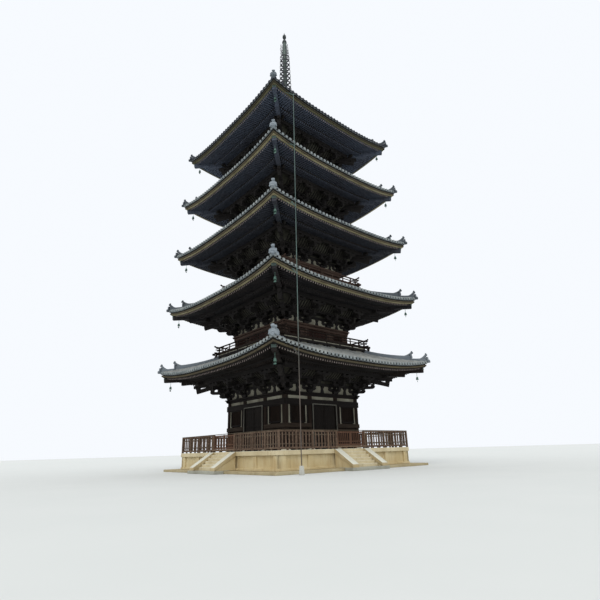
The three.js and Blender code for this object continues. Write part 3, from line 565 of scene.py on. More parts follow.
def eave_board_finish(name, ochre, worn_tone, streak_tone, top_tone):
    """The painted board under the tiles: ochre, worn grey and streaked, darker on the top roof as painted
    shade.
    """
    board = Finish(name, gloss=0.15)
    worn = board.noise(1.1, (1, 1, 6), 5.0)
    streaks = board.noise(7.0, (1, 1, 0.3), 3.0, 5.0)
    colour = board.mix(worn.between(0.35, 0.68), ochre, worn_tone)
    colour = board.mix(streaks.between(0.5, 0.75) * 0.6, colour, streak_tone)
    # Painted shade: the top roof's board darkened
    colour = board.mix(board.axis("Z").between(21.5, 22.5) * 0.75, colour, top_tone)
    return board.finished(colour, 0.82, streaks, 0.3, 0.006)


def eave_lip_finish(name, dark, pale, top_tone):
    """The lower edge of the painted board, paler than the board, and darker on the top roof as painted
    shade.
    """
    board = Finish(name, gloss=0.15)
    worn = board.noise(1.3, (1, 1, 6), 5.0)
    colour = board.mix(worn.between(0.35, 0.7), dark, pale)
    # Painted shade: the top roof's lip darkened
    colour = board.mix(board.axis("Z").between(21.5, 22.5) * 0.8, colour, top_tone)
    return board.finished(colour, 0.82, worn, 0.3, 0.006)


def conductor_finish(name, painted, rubbed):
    """Painted cable, grey-green above and rubbed brown where it runs down past the fence."""
    cable = Finish(name, 0.2)
    runs = cable.noise(3.0, RUNS, 5.0)
    above, below = [cable.mix(runs.between(0.35, 0.7), *tones) for tones in (painted, rubbed)]
    return cable.finished(cable.mix(cable.axis("Z").between(4.0, 9.0), below, above), 0.6, runs, 0.2, 0.004)


def stage_finish(name, dark, pale):
    """A plain floor."""
    floor = Finish(name)
    return floor.finished(floor.mix(floor.noise(0.4, EVEN, 2.0), dark, pale), 0.95)


# Each finish's tones, as screen values, and then what else its function takes
FINISHES = (
    (timber_finish, {
        "dark_timber": ((28, 26, 26), (46, 43, 42), (72, 66, 60), HORIZONTAL),
        "beam_timber": ((18, 15, 14), (34, 29, 27), (62, 55, 49), HORIZONTAL),
        "post_timber": ((26, 20, 17), (46, 36, 30), (72, 62, 54), VERTICAL),
        "red_timber": ((52, 41, 36), (88, 70, 61), (114, 98, 87), HORIZONTAL),
        "red_board": ((36, 23, 20), (64, 41, 36), (82, 64, 56), VERTICAL),
        "door_board": ((16, 14, 12), (34, 29, 26), (62, 55, 48), VERTICAL),
        "worn_beam": ((40, 33, 27), (62, 52, 44), (84, 72, 62), HORIZONTAL, 0.85, 0.45),
        "pale_frame": ((80, 79, 72), (112, 111, 103), (144, 143, 134), VERTICAL, 0.85, 0.6),
        "fence_timber": ((72, 59, 49), (110, 91, 77), (142, 127, 108), ROUGH_SAWN, 0.85, 0.5),
        "newer_timber": ((94, 76, 62), (122, 102, 84), (146, 128, 110), VERTICAL, 0.8, 0.5),
        # rafter_end: the flying rafters' cut ends, partly their own paler tone and partly painted light,
        # since they sit in the eave board's shade
        "rafter_end": ((116, 104, 100), (156, 144, 140), (184, 174, 166), ROUGH_SAWN, 0.85, 0.5),
        "gate_timber": ((72, 50, 39), (104, 78, 62), (128, 107, 89), VERTICAL, 0.8, 0.45),
        "rail_timber": ((62, 54, 44), (96, 86, 72), (124, 114, 98), HORIZONTAL, 0.85, 0.5),
    }),
    (soffit_finish, {
        # Soffit finishes: the low tones are painted shade, the high bluish tones painted sky light
        "rafter_timber": (((24, 23, 22), (44, 40, 38)), ((60, 66, 78), (92, 99, 114))),
        # soffit_board: paler and bluer than the rafters, painted light so the boards between the rafters do
        # not show as shade
        "soffit_board": (((30, 28, 27), (52, 48, 46)), ((118, 132, 158), (156, 170, 196))),
    }),
    (tile_finish, {
        "fired_tile": ((118, 121, 120), (150, 152, 149), (170, 171, 165)),
        "shaded_tile": ((44, 46, 54), (64, 66, 75), (84, 87, 94)),
        # pan_tile: darker than the cover tiles, as painted shade in the pans' hollows between the covers
        "pan_tile": ((30, 31, 31), (50, 51, 49), (62, 62, 57), 0.4),
        "eave_tile": ((118, 126, 129), (156, 163, 163), (174, 177, 173)),
        # drip_tile: darker than the eave discs, as painted shade on the drip tiles' lips
        "drip_tile": ((84, 90, 94), (114, 121, 124), (130, 136, 136)),
        # Near-black plates in the gaps between the eave discs: painted shade
        "bedding": ((16, 16, 15), (24, 24, 23), (30, 30, 28), 0.3),
        # ridge_tile: its last tone is painted shade on the far sides and the top roof
        "ridge_tile": ((114, 124, 133), (142, 151, 157), (160, 167, 169), 0.5, 9.0, (58, 62, 68)),
    }),
    (plaster_finish, {
        "lime_plaster": ((152, 149, 134), (98, 93, 80), (70, 64, 54)),
        # dark_plaster: lime plaster darkened as painted shade under the eaves
        "dark_plaster": ((78, 77, 68), (36, 33, 29), (26, 23, 20)),
    }),
    (stone_finish, {
        "granite": ((192, 178, 143), (210, 198, 166), (142, 124, 90), 0.4, DAMP, 0.6),
        "warm_stone": ((192, 174, 132), (208, 196, 160), (160, 128, 84), 0.6, (4.0, 4.0, 0.6)),
        "pale_stone": ((172, 154, 116), (190, 174, 138), (130, 112, 76), 0.4, DAMP, 1.0),
        "kerb_stone": ((158, 144, 112), (176, 164, 132), (120, 104, 72), 0.5),
        "grey_stone": ((150, 149, 136), (168, 168, 155), (96, 92, 76), 0.5),
        "concrete": ((176, 176, 168), (194, 194, 186), (126, 124, 114), 0.4),
    }),
    (metal_finish, {
        "bronze": ((26, 31, 33), (46, 53, 55), (64, 76, 72), 0.55, 0.4, 0.35),
        "verdigris": ((60, 88, 80), (88, 120, 108), (120, 150, 136), 0.6, 0.3, 0.6),
        # ring_metal: darker than the mast, as painted shade on the rings
        "ring_metal": ((16, 19, 24), (28, 33, 40), (46, 55, 58), 0.6, 0.3, 0.35),
        "cap_metal": ((44, 58, 54), (62, 80, 73), (86, 102, 94), 0.65, 0.2),
        "mast_metal": ((58, 68, 66), (86, 99, 94), (108, 122, 114), 0.6, 0.25),
        "dark_iron": ((30, 29, 28), (52, 49, 46), (74, 52, 40), 0.6, 0.6, 0.3),
    }),
    (paving_finish, {"stone_flags": ((150, 140, 118), (176, 168, 146), (78, 72, 60))}),
    (eave_board_finish, {"eave_board": ((88, 80, 61), (68, 62, 50), (46, 42, 34), (48, 46, 36))}),
    (eave_lip_finish, {"eave_lip": ((124, 116, 88), (160, 152, 122), (84, 82, 62))}),
    (conductor_finish, {"conductor": (((58, 76, 73), (92, 112, 106)), ((72, 62, 56), (104, 93, 84)))}),
    (stage_finish, {"studio_floor": ((205, 208, 205), (211, 213, 210))}),
)


def finish(name):
    """One of the pagoda's finishes, made when it is first asked for."""
    made = bpy.data.materials.get(f"pagoda_{name}")
    for kind, looks in FINISHES:
        if name in looks and not made:
            made = kind(name, *looks[name])
    return made


# Settings


class PagodaSizes(bpy.types.PropertyGroup):
    """Sizes that the whole tower is worked out from."""

    platform_top: FloatProperty(
        name="Platform", description="Height of the stone platform", default=1.12, min=0.5, unit="LENGTH"
    )
    eave_half: FloatVectorProperty(
        name="Eaves", description="Half-width of each roof at its eave", size=STOREYS, unit="LENGTH",
        default=(6.59, 6.37, 6.15, 5.93, 5.69),
    )
    eave_height: FloatVectorProperty(
        name="Eave heights", description="Each roof's tile edge above the platform", size=STOREYS,
        unit="LENGTH", default=(4.7, 9.25, 13.6, 18.03, 22.3),
    )
    column_line: FloatVectorProperty(
        name="Column lines", description="Axis to the middle of each storey's outer columns", size=STOREYS,
        unit="LENGTH", default=(2.96, 2.71, 2.5, 2.3, 2.1),
    )
    inner_line: FloatVectorProperty(
        name="Middle bays", description="Half the middle bay of each storey", size=STOREYS, unit="LENGTH",
        default=(1.1, 1.01, 0.93, 0.86, 0.79),
    )
    plate_height: FloatVectorProperty(
        name="Wall plates", description="Top of each storey's wall plate above the platform", size=STOREYS,
        unit="LENGTH", default=(3.32, 7.75, 12.2, 16.62, 20.88),
    )
    floor_height: FloatVectorProperty(
        name="Floors", description="Each storey's floor above the platform", size=STOREYS, unit="LENGTH",
        default=(0.3, 6.42, 11.04, 15.36, 19.79),
    )


class PagodaDetails(bpy.types.PropertyGroup):
    """Spacing of what is repeated many times."""

    tile_pitch: FloatProperty(
        name="Tile pitch", description="Distance between two rows of round tiles", default=0.29, min=0.1,
        unit="LENGTH",
    )
    tile_length: FloatProperty(
        name="Tile length", description="Length of a round tile that shows", default=0.34, min=0.1,
        unit="LENGTH",
    )
    rafter_pitch: FloatProperty(
        name="Rafter pitch", description="Distance between two rafters", default=0.176, min=0.1,
        unit="LENGTH",
    )
    slat_pitch: FloatProperty(
        name="Slat pitch", description="Distance between two slats of the fence", default=0.24, min=0.05,
        unit="LENGTH",
    )
    gate_bars: IntProperty(
        name="Gate bars", description="Bars in each leaf of a fence gate", default=5, min=1
    )


class PagodaStep:
    """What the pagoda's operators share."""

    bl_options = {"REGISTER", "UNDO"}

    def execute(self, context):
        self.build(context.scene.pagoda_sizes, context.scene.pagoda_details)
        return {"FINISHED"}


# Stonework

LEDGE_HALF = 6.08
LEDGE_TOP = 0.14
LEDGE_JOINTS = (-5.2, -3.9, -2.7, -1.5, 1.5, 2.8, 4.1, 5.0)
WALL_HALF = 5.15
WALL_BACK = 5.0
COPING_HALF = 5.28
COPING_BACK = 4.6
COPING_DEPTH = 0.235
COPING_JOINTS = (-4.93, -3.84, -2.18, -1.39, 0.1, 1.39, 2.18, 3.4, 4.35)
PLINTH_HALF = 5.27
PLINTH_TOP = 0.255
PLINTH_JOINTS = (-4.1, -2.6, -1.42, 1.42, 2.7, 4.0, 5.0)
# Near edge, far edge, distance out
PILASTERS = ((2.93, 3.27, 5.21), (4.76, 5.23, 5.23))
PANEL_JOINTS = (0.41, 0.86, 1.2, 1.62, 1.98, 2.35, 2.93, 3.27, 3.62, 4.05, 4.44, 4.76)
JOINT = 0.007
CLEAR = 0.004


def stone_row(bm, cuts, out, z, edge=0.012):
    """Blocks side by side along the south side, with fine joints."""
    for start, end in zip(cuts, cuts[1:]):
        soft_box(bm, (start + JOINT / 2, end - JOINT / 2), (-out[1], -out[0]), z, edge)


class PAGODA_OT_platform(PagodaStep, bpy.types.Operator):
    """Kerb, plinth, facing slabs, pilasters, coping and paved top of the platform"""

    bl_idname = "pagoda.platform"
    bl_label = "Platform"

    def build(self, sizes, details):
        top = sizes.platform_top
        coping_foot = top - COPING_DEPTH

        kerb = bmesh.new()
        stone_row(kerb, [-LEDGE_HALF, *LEDGE_JOINTS], (WALL_BACK, LEDGE_HALF), (0.0, LEDGE_TOP), 0.02)
        four_sides(kerb)
        box(kerb, about(0, 5.02), about(0, 5.02), (0.0, LEDGE_TOP - 0.01))
        add("kerb_stones", kerb, "kerb_stone", ["platform_ledge"])

        wall = bmesh.new()
        cuts = [*[-x for x in reversed(PANEL_JOINTS)], 0.0, *PANEL_JOINTS]
        stone_row(wall, cuts, (WALL_BACK, WALL_HALF), (PLINTH_TOP - 0.01, coping_foot), 0.006)
        heights = (PLINTH_TOP - 0.01, coping_foot - CLEAR)
        for near, far, out in PILASTERS:
            for side in (1, -1):
                soft_box(wall, span(side, near, far), (-out, -5.05), heights)
        stone_row(wall, [-PLINTH_HALF, *PLINTH_JOINTS], (WALL_BACK, PLINTH_HALF), (LEDGE_TOP, PLINTH_TOP))
        four_sides(wall)
        box(wall, about(0, 5.04), about(0, 5.04), (LEDGE_TOP, coping_foot - CLEAR))
        add("facing_slabs", wall, "warm_stone", ["platform_wall"])

        coping = bmesh.new()
        cuts = [-COPING_HALF, *COPING_JOINTS, COPING_BACK]
        stone_row(coping, cuts, (COPING_BACK, COPING_HALF), (coping_foot, top), 0.014)
        add_round("coping_stones", coping, "granite", ["platform_coping"])
        flags = bmesh.new()
        box(flags, about(0, COPING_BACK), about(0, COPING_BACK), (coping_foot, top - 0.002))
        add("paved_top", flags, "stone_flags")


STEPS = 6
STEP_RUN = 0.2
STEP_FOOT = 0.15
STAIR_HALF = 0.95
CHEEK_OUTER = 1.41
CHEEK_FOOT = 6.62
# Foot and head of a cheek's lower end
CHEEK_Z = (0.15, 0.33)
# Half-width, end, height
LANDING = (1.5, 6.7, 0.165)


class PAGODA_OT_stairs(PagodaStep, bpy.types.Operator):
    """Four flights of stone steps between sloping cheeks"""

    bl_idname = "pagoda.stairs"
    bl_label = "Stairs"

    def build(self, sizes, details):
        top = sizes.platform_top
        start = COPING_HALF + 0.0003
        rise = top / (STEPS + 1)
        treads = bmesh.new()
        for step in range(STEPS):
            far = start + (step + 1) * STEP_RUN
            height = top - (step + 1) * rise
            joint = 0.22 if step % 2 else -0.35
            stone_row(treads, [-STAIR_HALF, joint, STAIR_HALF], (start, far), (STEP_FOOT, height))
        add_round("steps", treads, "granite", [f"{side}_stair" for side in SIDES])

        landing = bmesh.new()
        half, end, landing_top = LANDING
        stone_row(landing, [-half, -0.3, half], (LEDGE_HALF, end), (0.0, landing_top), 0.02)
        stone_row(landing, [-half, half], (5.7, LEDGE_HALF), (LEDGE_TOP, landing_top), 0.01)
        add_round("landings", landing, "grey_stone")

        cheeks = bmesh.new()
        under = bmesh.new()
        low, high = CHEEK_Z
        end = CHEEK_FOOT
        slope = [(start, top), (start + 0.06, top), (end, high), (end, low), (start, top - 0.24)]
        back = end - 0.12
        fill = [(start, top - 0.2), (back, low + 0.07), (back, low), (start, low)]
        for x in about(0, (STAIR_HALF + CHEEK_OUTER) / 2):
            place = Matrix.Translation((x, 0, 0)) @ OUTWARD
            plate(cheeks, slope, CHEEK_OUTER - STAIR_HALF, place)
            plate(under, fill, CHEEK_OUTER - STAIR_HALF - 0.07, place)
        wear(cheeks, cheeks.edges[:])
        add_round("stair_cheeks", cheeks, "pale_stone")
        add_round("cheek_walls", under, "warm_stone")


# Fence

FENCE_LINE = 5.205
FENCE_POSTS = (1.16, 1.8, 2.93, 4.07, 5.205)
POST = 0.11
POST_TOP = 0.985
# Where a newer board is nailed on: x, side of the fence
BATTENS = ((-1.8, 0), (1.16, 0), (-1.16, 3), (2.93, 1))
TOP_RAIL = (0.9, 0.98)
BOTTOM_RAIL = (0.065, 0.155)
RAIL_HALF = 0.042
# Foot, head, half-depth
CAP_RAIL = (0.98, 1.01, 0.06)
THIN_RAILS = (0.31, 0.76)
SLAT = (0.082, 0.036)
SILL_FEET = (-1.16, -0.4, 0.4, 1.16)
GATE_EDGE = 1.082
GATE_NEAR = 0.006
GATE_FOOT = 0.168
GATE_TOP = 0.95
GATE_DEPTH = 0.056
GATE_PIVOT = 1.052
GATE_PIN = 0.017
GATE_BAR = 0.021
# Widths of the meeting stile and the hanging stile
GATE_STILES = (0.075, 0.085)
# Rails of a leaf: foot and head over its foot, or under its head
GATE_LOW_RAILS = ((0.005, 0.09), (0.2, 0.25))
GATE_HEAD_RAIL = (-0.1, -0.015)
PIVOT_FOOT = 0.1605


def fence_post(bm, x, top):
    """A square post that stands up to the cap rail."""
    soft_box(bm, about(x, POST / 2), about(-FENCE_LINE, POST / 2), up(top, 0, POST_TOP), 0.008)


def gate_leaf(bm, top, bars):
    """One leaf of a fence gate, east of the middle of the south side."""
    half = GATE_DEPTH / 2
    low, high = up(top, GATE_FOOT, GATE_TOP)
    near, far = GATE_NEAR, GATE_EDGE - 0.002
    meeting, hanging = GATE_STILES
    for x in ((near, near + meeting), (far - hanging, far)):
        soft_box(bm, x, about(-FENCE_LINE, half), (low, high), 0.006)
    for z in (*[up(low, *rail) for rail in GATE_LOW_RAILS], up(high, *GATE_HEAD_RAIL)):
        soft_box(bm, (near + 0.07, far - 0.08), about(-FENCE_LINE, half - 0.006), z, 0.005)
    pitch = (far - near - meeting - hanging) / (bars + 1)
    for bar in range(1, bars + 1):
        x = near + meeting + pitch * bar
        soft_box(bm, about(x, GATE_BAR), about(-FENCE_LINE, half - 0.01), (low + 0.08, high - 0.09), 0.004)
    pivot = (GATE_PIVOT, -FENCE_LINE)
    rod(bm, (*pivot, low + 0.02), (*pivot, top + PIVOT_FOOT), GATE_PIN)


class PAGODA_OT_fence(PagodaStep, bpy.types.Operator):
    """Fence on the platform's edge: posts, rails, slats and the sills of its gates"""

    bl_idname = "pagoda.fence"
    bl_label = "Fence"

    def build(self, sizes, details):
        top = sizes.platform_top
        reach = FENCE_LINE + POST / 2
        fence = bmesh.new()
        thin = bmesh.new()
        for x in FENCE_POSTS[:-1]:
            fence_post(fence, x, top)
        for rail in (BOTTOM_RAIL, TOP_RAIL):
            soft_box(fence, (FENCE_POSTS[0], FENCE_LINE), about(-FENCE_LINE, RAIL_HALF), up(top, *rail))
        low, high, half = CAP_RAIL
        soft_box(thin, (0, reach), about(-FENCE_LINE, half), up(top, low, high), 0.006)
        for z in THIN_RAILS:
            box(thin, (FENCE_POSTS[0], reach - 0.03), about(-FENCE_LINE, 0.012), about(top + z, 0.022))
        wide, deep = SLAT
        heights = up(top, BOTTOM_RAIL[1] - 0.02, TOP_RAIL[0] + 0.02)
        for near, far in zip(FENCE_POSTS, FENCE_POSTS[1:]):
            spaces = max(2, round((far - near) / details.slat_pitch))
            for slat in range(1, spaces):
                x = near + (far - near) * slat / spaces
                box(fence, about(x, wide / 2), about(-FENCE_LINE, deep / 2), heights)
            middle = (near + far) / 2
            box(fence, about(middle, 0.05), about(-FENCE_LINE, 0.036), up(top, 0, BOTTOM_RAIL[0] + 0.01))
        mirrored(fence)
        mirrored(thin)
        fence_post(fence, FENCE_LINE, top)
        nodes = ["south_fence", "east_fence", "north_fence", "west_fence_left", "west_fence_right"]
        add_round("fence_frames", fence, "fence_timber", nodes)
        add_round("fence_thin_rails", thin, "rail_timber")

        newer = bmesh.new()
        for x, quarter in BATTENS:
            y = south(FENCE_LINE + POST / 2, 0.014, 0.002)
            made = box(newer, about(x, 0.034), y, up(top, 0.03, 0.87))
            bmesh.ops.transform(newer, verts=made, matrix=QUARTERS[quarter])
        add("newer_posts", newer, "newer_timber")

        sills = bmesh.new()
        soft_box(sills, about(0, 1.25), (-COPING_HALF, -5.08), up(top, 0.07, 0.16), 0.01)
        for x in SILL_FEET:
            box(sills, about(x, 0.06), (-COPING_HALF + 0.03, -5.1), up(top, 0, 0.08))
        add_round("gate_sills", sills, "newer_timber", ["west_gate_sill"])


class PAGODA_OT_gates(PagodaStep, bpy.types.Operator):
    """Barred double gates of the fence, each leaf hung on its own post"""

    bl_idname = "pagoda.gates"
    bl_label = "Gates"

    def build(self, sizes, details):
        for quarter, side in enumerate(SIDES):
            for hand in ("right", "left"):
                leaf = bmesh.new()
                gate_leaf(leaf, sizes.platform_top, details.gate_bars)
                if hand == "left":
                    bmesh.ops.scale(leaf, vec=(-1, 1, 1), verts=leaf.verts)
                bmesh.ops.transform(leaf, verts=leaf.verts, matrix=QUARTERS[quarter])
                name = f"{side}_gate_{hand}"
                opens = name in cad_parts
                nodes = [name] if opens else []
                add(f"{name}_leaf", leaf, "gate_timber", nodes, name if opens else "tower")


# Ground storey: heights above the platform

COLUMN_RADIUS = 0.18
# Height, radius of the foot, radius of the head
COLUMN_PAD = (0.07, 0.31, 0.25)
GROUND_COLUMNS = (1.1, 2.96)
# Beams: foot, head, distance out from the column line
GROUND_SILL = (0.1, 0.38, 0.2)
WAIST_BEAM = (1.25, 1.5, 0.185)
HEAD_RAIL = (2.55, 2.9, 0.2)
TIE_FROM = 3.1
TIE_TOP = 3.23
PLATE_TOP = 3.32
WINDOW_X = (1.6, 2.6)
WINDOW_Z = (1.64, 2.5)
WALL_STUD = 1.36
PLASTER_STRIPS = ((1.41, 1.56), (2.63, 2.8))
PANEL_BOARDS = 7
PANEL_Z = (0.3, 1.3)
# Near edge, far edge, distance out
JAMB = (0.93, 1.07, 0.245)
FRAME_TOP = (2.6, 2.66)
# A leaf's near and far edges, then its foot and head
LEAF = (0.005, 0.909)
LEAF_Z = (0.39, 2.54)
LEAF_FRONT = 0.17
LEAF_DEPTH = 0.07
LEAF_BOARDS = 4
LEAF_NAILS = 5
# Foot of each batten: from the leaf's foot, its middle and its head
BATTEN_AT = (0.12, -0.06, -0.26)
BATTEN_DEPTH = 0.14
DOOR_PIVOT = 0.874
PIVOT_Z = (0.381, 2.549)


def side_beam(bm, from_x, to_x, line, size, base, edge=0.012):
    """A squared beam on the face of the south side, from x to x."""
    low, high, out = size
    soft_box(bm, (from_x, to_x), (-line - out, -line + 0.08), (base + low, base + high), edge)


def crossing_end(bm, line, reach, low, high, width):
    """The carved end of a beam that runs past the corner column."""
    outline = [
        (0, low), (reach * 0.55, low), (reach * 0.8, low + (high - low) * 0.3), (reach, (low + high) / 2),
        (reach * 0.95, high), (0, high),
    ]
    ends = bmesh.new()
    for x in (line, -line):
        turn = Matrix.Identity(4) if x > 0 else Matrix.Rotation(math.pi, 4, "Z")
        plate(ends, outline, width, Matrix.Translation((x, -line, 0)) @ turn)
    four_sides(ends)
    copies(bm, ends)


def barred_window(bars, boards, x, z, face, pitch=0.095):
    """Square bars set cornerwise in a window, with dark boards behind."""
    count = max(3, round((x[1] - x[0]) / pitch))
    for bar in range(count):
        at = x[0] + (x[1] - x[0]) * (bar + 0.5) / count
        rod(bars, (at, -face, z[0]), (at, -face, z[1]), 0.028, 4)
    box(boards, (x[0] - 0.02, x[1] + 0.02), (-face + 0.06, -face + 0.085), (z[0] - 0.02, z[1] + 0.02))


def framed(bm, x, z, out, width=0.07, depth=0.07):
    """A window's frame: two stiles, a head and a sill proud of the wall."""
    y = south(out, depth / 2, depth)
    for low in (x[0] - width, x[1]):
        soft_box(bm, (low, low + width), y, (z[0] - width, z[1] + width), 0.006)
    for low in (z[0] - width, z[1]):
        soft_box(bm, x, south(out, depth / 2 + 0.01, depth), (low, low + width), 0.006)


def door_leaf(boards, iron, base, quarter=0, hand=1):
    """One board leaf of a ground-storey door, with its battens and nail heads."""
    line = GROUND_COLUMNS[1] + LEAF_FRONT
    low, high = up(base, *LEAF_Z)
    first, last = LEAF
    wood = bmesh.new()
    nails = bmesh.new()
    width = (last - first) / LEAF_BOARDS
    for board in range(LEAF_BOARDS):
        start = first + board * width
        x = start + 0.002, start + width - 0.002
        soft_box(wood, x, (-line + 0.012, -line + LEAF_DEPTH), (low, high), 0.004)
    for start, rise in zip((low, (low + high) / 2, high), BATTEN_AT):
        z = start + rise
        soft_box(wood, (first + 0.01, last - 0.01), south(line, 0.004, 0.02), (z, z + BATTEN_DEPTH), 0.006)
        for nail in range(LEAF_NAILS):
            x = first + 0.1 + nail * (last - first - 0.2) / (LEAF_NAILS - 1)
            rod(nails, (x, -line + 0.004, z + 0.07), (x, -line - 0.016, z + 0.07), 0.022, 8, 0.008)
    soft_box(wood, (first, first + 0.06), south(line, 0.012, 0.03), (low, high), 0.006)
    foot, head = [(DOOR_PIVOT, -line + LEAF_DEPTH / 2, z) for z in up(base, *PIVOT_Z)]
    rod(wood, foot, head, 0.023)
    for target, unit in ((boards, wood), (iron, nails)):
        if hand < 0:
            bmesh.ops.scale(unit, vec=(-1, 1, 1), verts=unit.verts)
            bmesh.ops.reverse_faces(unit, faces=unit.faces)
        copies(target, unit, [QUARTERS[quarter]])


class PAGODA_OT_ground_storey(PagodaStep, bpy.types.Operator):
    """Round columns, beams, plaster and barred windows of the ground storey"""

    bl_idname = "pagoda.ground_storey"
    bl_label = "Ground storey"

    def build(self, sizes, details):
        base = sizes.platform_top
        line = sizes.column_line[0]
        inner = sizes.inner_line[0]
        walls = [f"corner_wall_{corner}" for corner in ("southeast", "northeast", "northwest", "southwest")]

        posts = bmesh.new()
        pads = bmesh.new()
        height, foot, head = COLUMN_PAD
        for x in (-inner, inner, line):
            rod(posts, (x, -line, base), (x, -line, base + TIE_FROM), COLUMN_RADIUS, 32)
            rod(pads, (x, -line, base), (x, -line, base + height), foot, 32, head)
        add_round("ground_columns", posts, "post_timber", walls)
        add_round("column_pads", pads, "granite")

        beams = bmesh.new()
        waists = bmesh.new()
        far = line + 0.16
        side_beam(beams, JAMB[0], far, line, GROUND_SILL, base)
        side_beam(waists, JAMB[1], far, line, WAIST_BEAM, base)
        mirrored(beams)
        mirrored(waists)
        add_round("waist_beams", waists, "worn_beam")
        side_beam(beams, -far, far, line, HEAD_RAIL, base)
        between = up(base, WAIST_BEAM[1], HEAD_RAIL[0])
        for side in (1, -1):
            framed(beams, span(side, *WINDOW_X), up(base, *WINDOW_Z), line + 0.08, 0.09, 0.08)
            soft_box(beams, about(side * WALL_STUD, 0.05), (-line - 0.12, -line), between, 0.006)
        add_round("ground_beams", beams, "beam_timber")

        plaster = bmesh.new()
        for side in (-1, 1):
            for strip in PLASTER_STRIPS:
                box(plaster, span(side, *strip), south(line, 0.1, 0.02), between)
        box(plaster, (-line, line), about(-line, 0.06), up(base, 2.88, TIE_FROM))
        add_round("ground_plaster", plaster, "lime_plaster")

        panels = bmesh.new()
        bars = bmesh.new()
        inside = GROUND_COLUMNS[0]
        low, high = PANEL_Z
        step = (line - inside) / PANEL_BOARDS
        for side in (1, -1):
            barred_window(bars, panels, span(side, *WINDOW_X), up(base, *WINDOW_Z), line + 0.07)
            for board in range(PANEL_BOARDS):
                start = inside + board * step
                x = span(side, start + 0.003, start + step - 0.003)
                box(panels, x, about(-line, 0.05), up(base, low, high))
            box(panels, span(side, inside, line), south(line, 0.02, 0.06), up(base, high, WINDOW_Z[0]))
        add_round("ground_panels", panels, "post_timber")
        add_round("ground_window_bars", bars, "post_timber")

        frames = bmesh.new()
        jambs = bmesh.new()
        near, far, out = JAMB
        foot = GROUND_SILL[0]
        low, high = FRAME_TOP
        for side in (-1, 1):
            x = span(side, near + 0.0005, far)
            soft_box(jambs, x, south(line, out - 0.02, 0.05), up(base, foot, HEAD_RAIL[0]), 0.008)
            x = span(side, near + 0.03, near + 0.09)
            soft_box(frames, x, (-line - out, -line - out + 0.04), up(base, foot, low), 0.006)
        soft_box(frames, about(0, near + 0.09), (-line - out, -line - 0.2), up(base, low, high), 0.006)
        add_round("door_jambs", jambs, "beam_timber")
        add_round("door_frames", frames, "pale_frame")

        heads = bmesh.new()
        band(heads, line - 0.15, line + 0.11, base + TIE_FROM, base + TIE_TOP)
        band(heads, line - 0.15, line + 0.24, base + TIE_TOP, base + PLATE_TOP)
        crossing_end(heads, line, 0.33, base + TIE_FROM, base + TIE_TOP, 0.15)
        crossing_end(heads, line, 0.4, base + TIE_TOP + 0.005, base + PLATE_TOP - 0.005, 0.3)
        fill = bmesh.new()
        box(fill, about(0, JAMB[0] - 0.001), about(-line, 0.08), up(base, 2.552, HEAD_RAIL[1]))
        four_sides(fill)
        copies(heads, fill)
        add("head_beams", heads, "beam_timber", ["storey_1_head_beams"])

        posts = bmesh.new()
        rod(posts, (inside, -inside, base + 0.3), (inside, -inside, base + 3.3), 0.17, 32)
        four_sides(posts)
        band(posts, 1.0, 1.2, base + 3.04, base + 3.3)
        add("inner_posts", posts, "post_timber", ["inner_columns"])
        dress(["ground_floor", "heart_pillar"], "dark_timber")


class PAGODA_OT_doors(PagodaStep, bpy.types.Operator):
    """Double doors of the ground storey; the south ones swing on their own bodies"""

    bl_idname = "pagoda.doors"
    bl_label = "Doors"

    def build(self, sizes, details):
        base = sizes.platform_top
        for hand, side in ((1, "right"), (-1, "left")):
            boards, iron = bmesh.new(), bmesh.new()
            door_leaf(boards, iron, base, 0, hand)
            body = f"south_door_{side}"
            add(f"{body}_boards", boards, "door_board", [body], body)
            add(f"{body}_nails", iron, "dark_iron", (), body)
        for quarter, side in list(enumerate(SIDES))[1:]:
            boards, iron = bmesh.new(), bmesh.new()
            for hand in (1, -1):
                door_leaf(boards, iron, base, quarter, hand)
            add(f"{side}_door_boards", boards, "door_board", [f"{side}_doors"])
            add(f"{side}_door_nails", iron, "dark_iron")


# Upper storeys

WALL_FACE = 0.07
UPPER_COLUMN = 0.145
# Distance out, height
UPPER_SILL = (0.19, 0.17)
UPPER_HEAD = 0.33
WINDOW_SHARE = (0.3, 0.78)
DOOR_SHARE = 0.8
DOOR_BOARDS = 3
# Distance out and foot of each tier of the wall plate, and a tier's height
PLATE_TIERS = ((0.11, -0.2), (0.23, -0.1))
PLATE_TIER = 0.1
# Heights of a window's foot over the sill and of its head under the head beam
WINDOW_GAPS = (0.19, -0.03)


